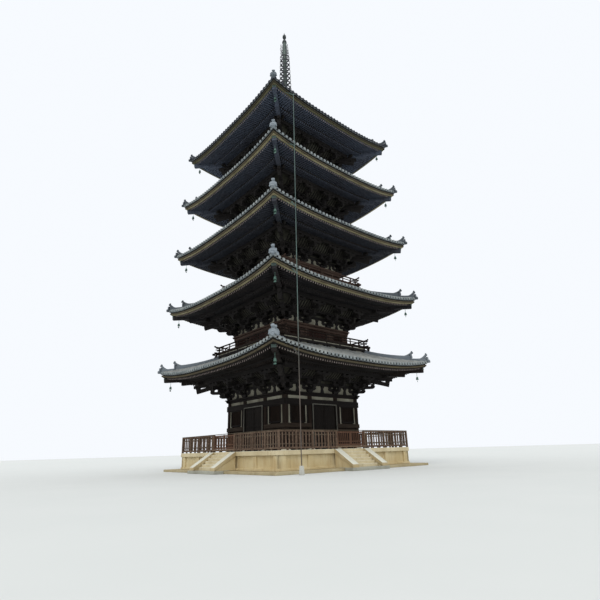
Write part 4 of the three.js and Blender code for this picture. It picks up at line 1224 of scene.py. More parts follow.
class PAGODA_OT_upper_walls(PagodaStep, bpy.types.Operator):
    """Walls of storeys two to five: round columns, red board doors and barred windows"""

    bl_idname = "pagoda.upper_walls"
    bl_label = "Upper walls"

    def build(self, sizes, details):
        for storey in storeys()[1:]:
            self.wall(storey)

    def wall(self, storey):
        number, line, inner = storey.number, storey.column, storey.inner
        floor, plate_top = storey.floor, storey.plate
        face = line + WALL_FACE
        sill = floor + UPPER_SILL[1]
        head = plate_top - UPPER_HEAD
        window = [inner + share * (line - inner) for share in WINDOW_SHARE]
        door = DOOR_SHARE * inner
        low, high = sill + WINDOW_GAPS[0], head + WINDOW_GAPS[1]

        timbers = bmesh.new()
        for x in (-inner, inner, line):
            rod(timbers, (x, -line, sill - 0.01), (x, -line, plate_top - 0.1), UPPER_COLUMN, 24)
        for z in ((floor, sill), up(head, 0.02, 0.15)):
            soft_box(timbers, about(0, line + 0.1), (-line - UPPER_SILL[0], -line), z, 0.01)
        for side in (-1, 1):
            framed(timbers, span(side, *window), (low, high), face - 0.01, 0.05, 0.05)
            soft_box(timbers, span(side, inner, line), (-line - 0.13, -line), up(low, -0.13, -0.04), 0.008)
            soft_box(timbers, span(side, door, door + 0.07), about(-face, 0.05), (sill, head + 0.02), 0.006)
        four_sides(timbers)
        for out, foot in PLATE_TIERS:
            band(timbers, line - 0.06, line + out, plate_top + foot, plate_top + foot + PLATE_TIER)
        crossing_end(timbers, line, 0.3, plate_top - 2 * PLATE_TIER, plate_top - PLATE_TIER, 0.13)
        add(f"wall_timbers_{number}", timbers, "red_timber", [f"storey_{number}_walls"])

        panels = bmesh.new()
        bars = bmesh.new()
        doors = bmesh.new()
        back = (-face + 0.02, -face + 0.1)
        for side in (-1, 1):
            x = span(side, *window)
            barred_window(bars, panels, x, (low, high), face - 0.02, 0.085)
            box(panels, x, back, (sill, low))
            for near, far in ((inner, window[0]), (window[1], line), (door, inner)):
                box(panels, span(side, near, far), back, (sill, head + 0.03))
            for board in range(DOOR_BOARDS):
                near = door * board / DOOR_BOARDS + 0.004
                x = span(side, near, near + door / DOOR_BOARDS - 0.005)
                soft_box(doors, x, south(face, 0.005, 0.05), (sill + 0.02, head + 0.01), 0.004)
            for z in (sill + 0.12, (sill + head) / 2, head - 0.16):
                box(doors, span(side, 0.01, door - 0.01), (-face - 0.02, -face), (z, z + 0.07))
        add_round(f"wall_boards_{number}", panels, "red_timber")
        add_round(f"window_bars_{number}", bars, "red_board")
        add_round(f"wall_doors_{number}", doors, "red_board")

        strip = bmesh.new()
        box(strip, (-line, line), about(-line, 0.05), (head + 0.14, plate_top - 0.19))
        add_round(f"wall_plaster_{number}", strip, "lime_plaster")
        dress([f"storey_{number}_lining"], "door_board")


# Verandas: heights above the veranda floor

DECK_EDGE = 1.01
DECK_BOARD = 0.21
DECK_DEPTH = 0.045
UNDER_DECK = 0.088
JOISTS = (-0.9, -0.6, -0.3, 0.0, 0.3, 0.6, 0.9)
BALUSTERS = (-0.86, -0.62, -0.32, 0.0, 0.32, 0.62, 0.86)
# Half-width, half-depth, foot, head and worn edge of each block in a baluster
BALUSTER = (
    (0.035, 0.03, 0.25, 0.42, 0.006),
    (0.028, 0.025, 0.46, 0.6, 0.005),
    (0.055, 0.05, 0.55, 0.59, 0.01),
)
# Foot, head, depth, worn edge of the upper and the top rail
RAILS = ((0.415, 0.465, 0.065, 0.008), (0.585, 0.67, 0.085, 0.02))
STRUTS = 6
# Foot, head, depth, and how far it runs past the upper rails
GROUND_RAIL = (0.12, 0.26, 0.13, 0.07)
# Foot, head, length
RAIL_NOSE = (0.0, 0.15, 0.24)


class PAGODA_OT_verandas(PagodaStep, bpy.types.Operator):
    """Board decks and three-railed balustrades round storeys two to five"""

    bl_idname = "pagoda.verandas"
    bl_label = "Verandas"

    def build(self, sizes, details):
        for storey in storeys()[1:]:
            self.veranda(storey)

    def veranda(self, storey):
        number, line, floor = storey.number, storey.column, storey.floor
        edge = line + DECK_EDGE
        rail = line + RAIL_LINE
        end = line + RAIL_REACH
        base = line + VERANDA_BASE
        under = floor - UNDER_DECK

        deck = bmesh.new()
        count = round(2 * edge / DECK_BOARD)
        for board in range(count):
            start = -edge + 2 * edge * board / count
            stop = start + 2 * edge / count - 0.006
            inward = max(line - 0.1, min(abs(start), abs(stop)) + 0.004)
            if inward < edge - 0.02:
                box(deck, (start, stop), (-edge - 0.015, -inward), (floor - DECK_DEPTH, floor))
        four_sides(deck)
        band(deck, line - 0.3, edge, floor - 0.09, floor - DECK_DEPTH + 0.001)
        band(deck, 0.55, line - 0.06, floor - 0.09, floor - 0.01)
        add(f"veranda_deck_{number}", deck, "dark_timber", [f"veranda_{number}"])

        beam = bmesh.new()
        timber(beam, hip(line + 0.2, floor - 0.08), hip(line + 1.14, floor - 0.06), 0.14, 0.12)
        bmesh.ops.transform(beam, verts=beam.verts, matrix=DIAGONAL)
        for share in JOISTS:
            soft_box(beam, about(share * line, 0.06), (-edge - 0.05, -line), (floor - 0.17, under), 0.008)
        four_sides(beam)
        band(beam, edge - 0.16, edge - 0.02, floor - 0.14, under)
        band(beam, base - 0.2, base - 0.02, floor - VERANDA_DEPTH, under)
        add(f"veranda_frame_{number}", beam, "dark_timber")

        skirt = bmesh.new()
        step = 2 * rail / STRUTS
        for patch in range(STRUTS):
            x = (2 * (patch + 0.5) / STRUTS - 1) * base
            box(skirt, about(x, 0.24), (-base, -base + 0.06), up(floor, 0.02 - VERANDA_DEPTH, -0.09))
            start = -rail + patch * step
            box(skirt, (start + 0.06, start + step - 0.06), about(-rail, 0.03), up(floor, 0.02, 0.085))
        add_round(f"veranda_plaster_{number}", skirt, "lime_plaster")

        rails = bmesh.new()
        for low, high, width, worn in RAILS:
            soft_box(rails, (-end, end), about(-rail, width / 2), up(floor, low, high), worn)
        foot, head, thick, past = GROUND_RAIL
        soft_box(rails, about(0, end + past), about(-rail, thick / 2), up(floor, foot, head), 0.01)
        low, high, reach = RAIL_NOSE
        for side in (-1, 1):
            soft_box(rails, span(side, end, end + reach), about(-rail, 0.05), up(floor, low, high), 0.03)
            root = (side * (end - 0.03), -rail, floor + 0.665)
            timber(rails, root, (side * (end + 0.08), -rail, floor + 0.72), 0.08, 0.08)
        for strut in range(STRUTS + 1):
            x = (2 * strut / STRUTS - 1) * (rail - 0.05)
            soft_box(rails, about(x, 0.055), south(rail, 0.045, 0.04), up(floor, 0, foot + 0.01), 0.006)
        for share in BALUSTERS:
            for half, deep, low, high, worn in BALUSTER:
                soft_box(rails, about(share * rail, half), about(-rail, deep), up(floor, low, high), worn)
        soft_box(rails, about(rail, 0.045), about(-rail, 0.045), up(floor, 0, 0.6), 0.008)
        look = "post_timber" if number == 2 else "red_timber"
        add_round(f"veranda_rails_{number}", rails, look)


# Bracket sets: distances out from the column line, heights above the wall plate

ARM_WIDTH = 0.16
# Width, height
BLOCK = (0.22, 0.14)
BIG_BLOCK = (0.42, 0.2)
FLAT_BLOCK = (0.2, 0.1)
# Foot, head, distance out
FIRST_ARM = (0.16, 0.34, 0.56)
SECOND_ARM = (0.44, 0.62, 1.02)
ARM_BACK = -0.2
ARM_HALF = 0.56
# The rounded underside of an arm's end: distances back from its tip, shares of its depth
ARM_END = ((0.16, 0.0), (0.06, 0.22), (0.0, 0.6), (0.0, 1.0))
BLOCKS_AT = (-0.44, 0, 0.44)
STEP_OUT = 0.47
TIE_Z = (0.72, 0.9)
# Distance out and height of the tail rafter's two ends
TAIL = ((-0.1, 0.62), (1.5, 0.0))
TAIL_DEPTH = 0.2
PURLIN = (1.3, 1.46)
PURLIN_MIDDLE = 1.38
PURLIN_DEPTH = 0.23
# Under the purlin: the tail rafter's line at a column and at a corner
TAIL_UNDER = 0.37
CORNER_UNDER = 0.36
CORNER_TAIL = 1.72
CORNER_WIDTH = 0.19
STRUT_TOP = 0.3
STRUT = [(-0.15, 0.001), (0.15, 0.001), (0.07, STRUT_TOP), (-0.07, STRUT_TOP)]
RIB_PITCH = 0.21
RIB = (0.06, 0.05)
RIB_REACH = 0.4


def bearing_block(bm, x, out, z, size):
    """A squared block with a tapered foot, as stands between two bracket arms."""
    width, height = size
    foot = height * 0.42
    bmesh.ops.create_cone(
        bm, cap_ends=True, segments=4, radius1=width * 0.5, radius2=width * 0.7, depth=foot,
        matrix=Matrix.Translation((x, -out, z + foot / 2)) @ DIAGONAL,
    )
    half = width * 0.495
    box(bm, about(x, half), about(-out, half), (z + foot - 0.001, z + height))


def bracket_arm(bm, near, far, low, high, place, width=ARM_WIDTH):
    """An arm with its underside rounded up at the ends that are free."""
    outline = [(far - back, low + (high - low) * share) for back, share in ARM_END]
    if near < ARM_BACK:
        outline += [(near + back, low + (high - low) * share) for back, share in reversed(ARM_END)]
    else:
        outline += [(near, high), (near, low)]
    plate(bm, outline[::-1], width, place)


def bracket_set(purlin):
    """One column's brackets, stepping out three times to the purlin."""
    unit = bmesh.new()
    bearing_block(unit, 0, 0, 0, BIG_BLOCK)
    for (low, high, reach), line in ((FIRST_ARM, 0), (SECOND_ARM, STEP_OUT)):
        bracket_arm(unit, ARM_BACK, reach, low, high, OUTWARD)
        bracket_arm(unit, -ARM_HALF, ARM_HALF, low, high, Matrix.Translation((0, -line, 0)))
        for x in BLOCKS_AT:
            bearing_block(unit, x, line, high, BLOCK)
        bearing_block(unit, 0, reach - 0.1, high, BLOCK)
    low = purlin - TAIL_UNDER
    (near, rise), (far, drop) = TAIL
    timber(unit, (0, -near, low + rise), (0, -far, low + drop), ARM_WIDTH, TAIL_DEPTH)
    bearing_block(unit, 0, 1.36, low + 0.03, BLOCK)
    place = Matrix.Translation((0, -PURLIN_MIDDLE, 0))
    bracket_arm(unit, -ARM_HALF, ARM_HALF, purlin - 0.22, purlin - 0.08, place)
    for x in BLOCKS_AT:
        bearing_block(unit, x, PURLIN_MIDDLE, purlin - 0.1, FLAT_BLOCK)
    return unit


def corner_set(purlin):
    """The diagonal arms and long tail rafter over a corner column, drawn towards -y."""
    unit = bmesh.new()
    for low, high, reach in (FIRST_ARM, SECOND_ARM):
        bracket_arm(unit, ARM_BACK, reach * CORNERWISE, low, high, OUTWARD, 0.18)
        bearing_block(unit, 0, (reach - 0.1) * CORNERWISE, high, (0.26, 0.14))
    tip = CORNER_TAIL * CORNERWISE
    low = purlin - CORNER_UNDER
    timber(unit, (0, 0.1, low + 0.66), (0, -tip, low), CORNER_WIDTH, 0.24)
    timber(unit, (0, 0.1, purlin + 0.26), (0, -tip - 0.2, purlin - 0.04), CORNER_WIDTH, 0.2)
    bearing_block(unit, 0, tip - 0.12, low, (0.28, 0.18))
    return unit


class PAGODA_OT_brackets(PagodaStep, bpy.types.Operator):
    """Three-stepped bracket sets, tail rafters, purlins and plaster under each eave"""

    bl_idname = "pagoda.brackets"
    bl_label = "Brackets"

    def build(self, sizes, details):
        for storey in storeys():
            self.brackets(storey)

    def brackets(self, storey):
        number, line, inner, plate_top = storey.number, storey.column, storey.inner, storey.plate
        near, far = PURLIN
        purlin = storey.rafter_foot(line + far) - PURLIN_DEPTH - plate_top

        sets = bmesh.new()
        places = [Matrix.Translation((x, -line, plate_top)) for x in (-line, -inner, inner, line)]
        copies(sets, bracket_set(purlin), places)
        copies(sets, corner_set(purlin), [DIAGONAL @ Matrix.Translation(hip(line, plate_top))])
        for middle in (-(line + inner) / 2, 0, (line + inner) / 2):
            plate(sets, STRUT, 0.12, Matrix.Translation((middle, -line - 0.02, plate_top)))
            bearing_block(sets, middle, line + 0.02, plate_top + STRUT_TOP, BLOCK)
        add_round(f"bracket_sets_{number}", sets, "dark_timber", [f"brackets_{number}"])

        ties = bmesh.new()
        rings = (
            (-0.08, 0.08, SECOND_ARM[0], SECOND_ARM[1]),
            (-0.07, 0.07, 0.78, purlin + 0.2),
            (STEP_OUT - 0.08, STEP_OUT + 0.08, TIE_Z[0] + 0.04, TIE_Z[1]),
            (near, far, purlin, purlin + PURLIN_DEPTH + 0.04),
        )
        for inside, outside, low, high in rings:
            band(ties, line + inside, line + outside, plate_top + low, plate_top + high)
        ends = bmesh.new()
        for side in (-1, 1):
            x = span(side, line + far - 0.01, line + far + 0.42)
            y = (-line - far + 0.004, -line - near - 0.004)
            soft_box(ends, x, y, up(plate_top, purlin + 0.01, purlin + PURLIN_DEPTH), 0.01)
        four_sides(ends)
        copies(ties, ends)
        add(f"bracket_ties_{number}", ties, "dark_timber")

        plaster = bmesh.new()
        band(plaster, line - 0.05, line + 0.03, plate_top, plate_top + 0.45)
        add(f"bracket_plaster_{number}", plaster, "lime_plaster")

        plaster = bmesh.new()
        band(plaster, line - 0.05, line + 0.03, plate_top + 0.61, plate_top + 0.8)
        low, high = plate_top + TIE_Z[1] - 0.02, plate_top + purlin + 0.12
        cove = [
            (0.5, low), (0.72, low + 0.12), (1.0, high - 0.03), (1.32, high),
            (1.32, high + 0.04), (1.0, high + 0.02), (0.68, low + 0.15), (0.48, low + 0.04),
        ]
        carried(plaster, [(line + out, z) for out, z in cove])
        # The plaster between the ribs takes the dark_plaster finish: painted shade under the eave
        add(f"rib_plaster_{number}", plaster, "dark_plaster")

        ribs = bmesh.new()
        reach = line + RIB_REACH
        count = round(2 * reach / RIB_PITCH)
        curve = [(0.5, low + 0.008), (0.72, low + 0.125), (1.0, high - 0.025), (1.32, high + 0.005)]
        for rib in range(count):
            x = (2 * (rib + 0.5) / count - 1) * reach
            for (root, first), (tip, last) in zip(curve, curve[1:]):
                timber(ribs, (x, -line - root, first), (x, -line - tip, last), *RIB)
        add_round(f"bracket_ribs_{number}", ribs, "dark_timber")


# Eaves: heights from the tile edge at mid-side

# Width, depth
RAFTER = (0.085, 0.12)
FLYING = (0.078, 0.11)
# Undersides at the inner and the outer end
FLYING_FOOT = (-0.12, -0.28)
BOARDS_BACK = 0.36
# Undersides of the boards over the lower and the upper rafters
SOFFIT_LIFT = (0.115, 0.105)
# Distances back from the lower rafters' ends, heights from the tile edge
RAFTER_BOARD = (0.14, 0.02, -0.24, -0.115)
CORNER_BEAM = 0.28
# Corner beams: root past the columns, step back from the eave, upper beams' start back from that step
BEAM_ROOT = 0.85
BEAM_STEP = 1.15
BEAM_OVERLAP = 0.3
BEAM_TIP = 0.27
BEAM_TOPS = (0.33, 0.5)
BELL_BACK = 0.59
BELL_TOP = -0.21
# Strips round the eave: distances back from it, heights from the tile edge, finish
EAVE_STRIPS = {
    "bed": (0.42, 0.261, -0.16, 0.0, "rafter_timber"),
    # The drip strip takes the dark rafter finish as painted shade, in the gap between the tiles and the
    # board
    "drip": (0.24, 0.14, -0.055, 0.0, "rafter_timber"),
    "board": (0.24, 0.09, -0.155, -0.056, "eave_board"),
    "lip": (0.26, 0.15, -0.2, -0.156, "eave_lip"),
}
BELL = [
    (0, -0.06), (0.03, -0.06), (0.055, -0.072), (0.07, -0.11), (0.076, -0.17), (0.086, -0.225),
    (0.098, -0.24), (0.086, -0.24), (0.064, -0.17), (0.048, -0.1), (0, -0.08),
]
WIND_PLATE = [(-0.065, -0.31), (0, -0.295), (0.065, -0.31), (0.09, -0.38), (0, -0.395), (-0.09, -0.38)]


def rafters(bm, ends, storey, pitch, span, foot, size):
    """One side's rafters, each between two distances out and lifted with the eave, and their cut ends."""
    near, far = span
    width, depth = size
    count = round(2 * (far - 0.1) / pitch)
    for rafter in range(count):
        x = (2 * (rafter + 0.5) / count - 1) * (far - 0.1)
        start = max(near, abs(x) + 0.11)
        if start > far - 0.06:
            continue
        root, tip = [Vector((x, -out, foot(out) + depth + storey.raised(out, x))) for out in (start, far)]
        timber(bm, root, tip, width, depth)
        timber(ends, tip, tip + (tip - root).normalized() * 0.004, width - 0.006, depth - 0.006)


def bell():
    """A wind bell with its clapper and the plate that catches the wind, hung from z = 0."""
    body = bmesh.new()
    turned(body, BELL, 20)
    rod(body, (0, 0, 0.36), (0, 0, -0.065), 0.012, 8)
    rod(body, (0, 0, -0.09), (0, 0, -0.3), 0.007, 6)
    plate(body, WIND_PLATE, 0.01, Matrix.Rotation(math.radians(25), 4, "Z"))
    return body


class PAGODA_OT_eaves(PagodaStep, bpy.types.Operator):
    """Two tiers of rafters, boards, corner beams and bells under each roof"""

    bl_idname = "pagoda.eaves"
    bl_label = "Eaves"

    def build(self, sizes, details):
        for storey in storeys():
            self.eaves(storey, details)

    def eaves(self, storey, details):
        number, eave, edge, end = storey.number, storey.eave, storey.tile_edge, storey.rafter_end
        corner_edge = storey.corner_edge
        inside = storey.column - 0.1
        slope = (FLYING_FOOT[1] - FLYING_FOOT[0]) / (eave - FLYING_END - end)

        def flying_foot(out):
            return edge + FLYING_FOOT[0] + (out - end) * slope

        boards = bmesh.new()
        front = eave - BOARDS_BACK
        back = end - 0.04
        low, high = SOFFIT_LIFT
        under_roof = storey.roof_top(max(inside, storey.shoulder)) - ROOF_THICKNESS
        carried(boards, [
            (inside, storey.rafter_foot(inside) + low),
            (back, storey.rafter_foot(back) + low),
            (back, flying_foot(end) + high),
            (front, flying_foot(front) + high),
            (front, edge - 0.04),
            (eave - 0.9, storey.roof_top(eave - 0.9) - ROOF_THICKNESS + 0.005),
            (inside, max(under_roof, storey.rafter_foot(inside) + 0.2)),
        ], storey)
        add(f"eave_boards_{number}", boards, "soffit_board", [f"eaves_{number}"])

        tiers = (
            ("base", (inside + 0.05, end), storey.rafter_foot, RAFTER, "rafter_timber"),
            # The flying rafters' ends take the pale rafter_end finish: painted light on ends that sit in
            # shade
            ("flying", (end - 0.2, eave - FLYING_END), flying_foot, FLYING, "rafter_end"),
        )
        for tier, reach, foot, size, look in tiers:
            timbers = bmesh.new()
            ends = bmesh.new()
            rafters(timbers, ends, storey, details.rafter_pitch, reach, foot, size)
            add_round(f"{tier}_rafters_{number}", timbers, "rafter_timber")
            add_round(f"{tier}_rafter_ends_{number}", ends, look)

        strip = bmesh.new()
        near, far, low, high = RAFTER_BOARD
        band(strip, end - near, end - far, edge + low, edge + high, storey)
        add(f"rafter_boards_{number}", strip, "dark_timber")
        for place, (near, far, low, high, look) in EAVE_STRIPS.items():
            strip = bmesh.new()
            band(strip, eave - near, eave - far, edge + low, edge + high, storey)
            unpainted = (place, number) == ("lip", 1)
            add(f"eave_{place}_{number}", strip, "rafter_timber" if unpainted else look)

        root, step, tip = storey.column + BEAM_ROOT, eave - BEAM_STEP, eave - BEAM_TIP
        back = step - BEAM_OVERLAP
        seat = edge + FLYING_FOOT[0] + 0.1 + storey.lift(step)
        lower, upper = up(corner_edge, *BEAM_TOPS)
        corner = bmesh.new()
        foot = hip(root, storey.rafter_foot(root) + storey.lift(root) + 0.06)
        timber(corner, foot, hip(step, edge + RAFTER_FOOT + 0.06 + storey.lift(step)), CORNER_BEAM, 0.29)
        timber(corner, hip(back, seat), hip(tip, lower), CORNER_BEAM - 0.03, 0.32)
        timber(corner, hip(back, seat + 0.1), hip(tip - 0.05, upper), CORNER_BEAM - 0.06, 0.2)
        bmesh.ops.transform(corner, verts=corner.verts, matrix=DIAGONAL)
        add_round(f"corner_beams_{number}", corner, "rafter_timber")

        caps = bmesh.new()
        nose = hip(tip, lower + 0.006) - Vector((0, 0.012, 0))
        timber(caps, hip(tip - 0.05, lower + 0.002), nose, CORNER_BEAM - 0.014, 0.17)
        bmesh.ops.transform(caps, verts=caps.verts, matrix=DIAGONAL)
        add_round(f"beam_caps_{number}", caps, "cap_metal")

        bells = bmesh.new()
        hung = eave - BELL_BACK
        copies(bells, bell(), [Matrix.Translation((hung, -hung, corner_edge + BELL_TOP))])
        add_round(f"bells_{number}", bells, "verdigris")


# Roofs

COVER = 0.085
PAN_DEPTH = 0.035
TILE_BACK = 0.03
DISC = 0.09
DISC_SEAT = 0.125
LIP_SEAT = 0.09
LIP_DEPTH = 0.045
RIDGE_FROM_HIP = 0.2
RIDGE_STEP = 0.8
RIDGE_LAYERS = [
    (0.15, 0.0), (0.15, 0.09), (0.135, 0.09), (0.135, 0.16), (0.12, 0.16), (0.12, 0.23),
    (0.105, 0.23), (0.105, 0.28), (0.085, 0.32), (0.045, 0.36),
]
# Shares of the layers' width and height, and how much a ridge swells towards its end
UPPER_RIDGE = (1.0, 0.74, 0.35)
LOWER_RIDGE = (0.8, 0.5, 0.5)
DISC_FACE = [
    (0, 0.012), (0.03, 0.012), (0.035, 0.0), (0.06, 0.0), (0.066, 0.014), (DISC - 0.005, 0.014),
    (DISC, 0.005), (DISC, -0.09), (0, -0.09),
]
RIDGE_DISC = [
    (0, 0.02), (0.035, 0.02), (0.045, 0.0), (0.07, 0.0), (0.08, 0.02), (0.095, 0.02), (0.1, 0.0),
    (0.1, -0.4), (0, -0.4),
]
# Radii as shares of the horn's
HORN_DISC = [
    (0, 0.01), (0.3, 0.01), (0.4, 0.0), (0.75, 0.0), (0.85, 0.015), (1.05, 0.015), (1.12, 0.0),
    (1.05, -0.05), (0, -0.06),
]
END_PLATE = [
    (-0.27, 0.0), (-0.2, -0.06), (-0.1, 0.0), (0.1, 0.0), (0.2, -0.06), (0.27, 0.0), (0.24, 0.16),
    (0.25, 0.34), (0.2, 0.47), (0.1, 0.55), (0.0, 0.57), (-0.1, 0.55), (-0.2, 0.47), (-0.25, 0.34),
    (-0.24, 0.16),
]
END_BOSS = [(0, 0.07), (0.06, 0.06), (0.1, 0.03), (0.11, 0.0), (0.1, -0.02), (0, -0.02)]
END_DEPTH = 0.1
BROW_SHARE = 0.78
HORN_RADIUS = 0.095
HORN_CURVE = 2.6
# Degrees from upright at the horn's start, and how many more at its tip
HORN_LEAN = (5, 62)


def arc(radius, count, low=0.0):
    """Half a circle over the origin, from its right to its left, closed below."""
    turns = [math.pi * k / count for k in range(count + 1)]
    points = [(radius * math.cos(turn), radius * math.sin(turn)) for turn in turns]
    return [*points, (-radius * 0.7, low), (radius * 0.7, low)]


def tile_row(bm, storey, x, section, rise, length, shrink, near, far):
    """One row of tiles up the slope, each tucked under the next above it."""
    tiles = max(1, round((far - near) / length))
    step = (far - near) / tiles
    unit = bmesh.new()

    def place(point, j):
        tile, upper = divmod(j, 2)
        out = far - (tile + upper) * step
        scale = 1 - shrink * upper
        across = x + point[0] * scale
        height = storey.roof_top(out) + storey.raised(out, across) + rise + point[1] * scale
        return Vector((across, -out, height))

    run(unit, section, 2 * tiles - 1, place)
    copies(bm, unit)


def ridge_line(bm, storey, near, far, section, sweep, steps=14):
    """A ridge down the hip, from one half-width to another, drawn towards -y."""
    unit = bmesh.new()

    def place(point, j):
        share = j / steps
        out = near + (far - near) * share
        z = storey.roof_top(out) + storey.lift(out) - 0.05
        swept = 1 + sweep * share ** 2.4
        return hip(out, z + point[1] * swept) + Vector((point[0], 0, 0))

    run(unit, section, steps, place)
    copies(bm, unit)


def both_sides(half):
    """A section drawn on its right, closed over its left."""
    return [*half, *[(-x, z) for x, z in reversed(half)]]


def ridge_end(wide, tall):
    """The plate that closes a ridge, with its horns, brow and boss, facing -y from the origin."""
    unit = bmesh.new()
    plate(unit, END_PLATE, END_DEPTH)
    brow = [(x * BROW_SHARE, 0.06 + z * BROW_SHARE) for x, z in END_PLATE]
    plate(unit, brow, END_DEPTH, Matrix.Translation((0, -0.03, 0)))
    turned(unit, END_BOSS, 12, Matrix.Translation((0, -0.07, 0.26)) @ FACING)
    for side in (-1, 1):
        rod(unit, (side * 0.11, -0.04, 0.42), (side * 0.17, -0.1, 0.5), 0.035, 8, 0.01)
        rod(unit, (side * 0.07, -0.05, 0.1), (side * 0.1, -0.1, 0.06), 0.03, 8, 0.012)
    bmesh.ops.scale(unit, vec=(wide, wide, tall), verts=unit.verts)
    return unit


def horn(bm, start, tip, radius, steps=10, sides=12):
    """The round tile that curves up over a ridge end to a disc."""

    def place(angle, j):
        share = j / steps
        rise = share ** HORN_CURVE
        middle = Vector((0, start.y + (tip.y - start.y) * share, start.z + (tip.z - start.z) * rise))
        wide = radius * (1.1 - 0.25 * share)
        lean = math.radians(HORN_LEAN[0] + HORN_LEAN[1] * share)
        across, over = wide * math.cos(angle), wide * math.sin(angle)
        return middle + Vector((across, over * math.sin(lean), over * math.cos(lean)))

    run(bm, [math.tau * k / sides for k in range(sides)], steps, place)
    turn = Matrix.Rotation(math.radians(HORN_LEAN[1]), 4, "X")
    turned(bm, [(radius * share, z) for share, z in HORN_DISC], 18, Matrix.Translation(tip) @ turn)


class PAGODA_OT_roofs(PagodaStep, bpy.types.Operator):
    """Tiled roofs: pan and cover tiles, round eave ends, stacked corner ridges and their ornaments"""

    bl_idname = "pagoda.roofs"
    bl_label = "Roofs"

    def build(self, sizes, details):
        for storey in storeys():
            self.bed(storey)
            self.tiles(storey, details)
            self.ridges(storey)

    def bed(self, storey):
        number, eave, edge, shoulder = storey.number, storey.eave, storey.tile_edge, storey.shoulder
        outs = [eave - 0.05 + (shoulder - eave + 0.05) * k / 10 for k in range(11)]
        under = [(out, storey.roof_top(out) - ROOF_THICKNESS) for out in outs if out < eave - 0.5]
        over = [(out, storey.roof_top(out) - 0.07) for out in outs]
        bed = bmesh.new()
        carried(bed, [*reversed(under), (eave - 0.3, edge), (eave - 0.05, edge), *over], storey)
        add(f"roof_bed_{number}", bed, "pan_tile", [f"roof_{number}"])

    def tiles(self, storey, details):
        number, eave, edge = storey.number, storey.eave, storey.tile_edge
        half = eave - 0.04
        count = round(half / details.tile_pitch)
        pitch = half / count
        length = details.tile_length
        cover = arc(COVER, 6, -0.02)
        width = pitch / 2 - 0.02
        dish = [(width, 0.0), (width * 0.5, -PAN_DEPTH), (-width * 0.5, -PAN_DEPTH), (-width, 0.0)]
        pan = [*dish, (-width, -0.05), (width, -0.05)]

        covers = bmesh.new()
        discs = []
        for row in range(count):
            x = (row + 0.5) * pitch
            near = max(storey.shoulder, x + RIDGE_FROM_HIP)
            if near < eave - 0.1:
                tile_row(covers, storey, x, cover, -0.03, length, 0.07, near, eave - TILE_BACK)
            seat = edge + DISC_SEAT + storey.raised(eave, x)
            discs.append(Matrix.Translation((x, -eave + 0.005, seat)))
        pans = bmesh.new()
        lips = []
        for row in range(-count, count + 1):
            x = row * pitch
            near = max(storey.shoulder, abs(x) + RIDGE_FROM_HIP - 0.1)
            if near < eave - 0.15:
                tile_row(pans, storey, x, pan, 0.0, length, 0.0, near, eave - TILE_BACK)
            if abs(row) < count:
                seat = edge + LIP_SEAT + storey.raised(eave, x)
                lips.append(Matrix.Translation((x, -eave + TILE_BACK, seat)))

        disc = bmesh.new()
        turned(disc, DISC_FACE, 14, FACING)
        lip = bmesh.new()
        drop = [(x / 5 * (pitch / 2 - 0.05), -0.05 * (1 - (x / 5) ** 2)) for x in range(-5, 6)]
        plate(lip, [*drop, *[(x, z - LIP_DEPTH) for x, z in reversed(drop)]], 0.03)
        # Near-black plates behind the drip tiles: painted shade in the hollows between the discs
        fill = bmesh.new()
        filled = [(drop[0][0], 0.075), *drop[1:-1], (drop[-1][0], 0.075)]
        plate(fill, filled, 0.03, Matrix.Translation((0, 0.006, 0)))
        ends = bmesh.new()
        drips = bmesh.new()
        shade_plates = bmesh.new()
        copies(ends, disc, discs)
        copies(drips, lip, lips)
        copies(shade_plates, fill, lips)
        mirrored(covers)
        mirrored(ends)
        add_round(f"cover_tiles_{number}", covers, "fired_tile")
        add_round(f"pan_tiles_{number}", pans, "pan_tile")
        add_round(f"eave_tiles_{number}", ends, "shaded_tile" if storey.top else "eave_tile")
        add_round(f"drip_tiles_{number}", drips, "drip_tile")
        add_round(f"tile_shade_plate_{number}", shade_plates, "bedding")

    def ridges(self, storey):
        number, eave, edge = storey.number, storey.eave, storey.corner_edge
        step = eave - RIDGE_STEP
        near = APEX_HALF if storey.top else storey.shoulder - 0.02
        ridges = bmesh.new()
        runs = ((near, step, UPPER_RIDGE), (step - 0.1, eave - 0.06, LOWER_RIDGE))
        for inner, outer, (wide, tall, swell) in runs:
            section = both_sides([(x * wide, z * tall) for x, z in RIDGE_LAYERS])
            ridge_line(ridges, storey, inner, outer, section, swell)
        top = storey.roof_top(step) + storey.lift(step)
        ends = (
            (step, top, (0.85, 0.85), step + 0.1, edge + 1.43, 0.24),
            (eave - 0.05, edge + 0.78, (0.86, 0.5), eave - 0.04, edge + 1.24, 0.12),
        )
        for out, seat, size, tip, tip_height, ridge_height in ends:
            copies(ridges, ridge_end(*size), [Matrix.Translation(hip(out, seat) - Vector((0, 0.02, 0)))])
            root = out - 0.5
            root_height = storey.roof_top(root) + storey.lift(root) + ridge_height - 0.1
            horn(ridges, hip(root, root_height), hip(tip, tip_height), HORN_RADIUS)
        unit = bmesh.new()
        turned(unit, RIDGE_DISC, 20, Matrix.Rotation(math.radians(82), 4, "X"))
        copies(ridges, unit, [Matrix.Translation(hip(eave + 0.085, edge + 0.15 + CORNER_LIFT))])
        bmesh.ops.transform(ridges, verts=ridges.verts, matrix=DIAGONAL)
        add_round(f"corner_ridges_{number}", ridges, "ridge_tile")


# Finial: heights above the platform

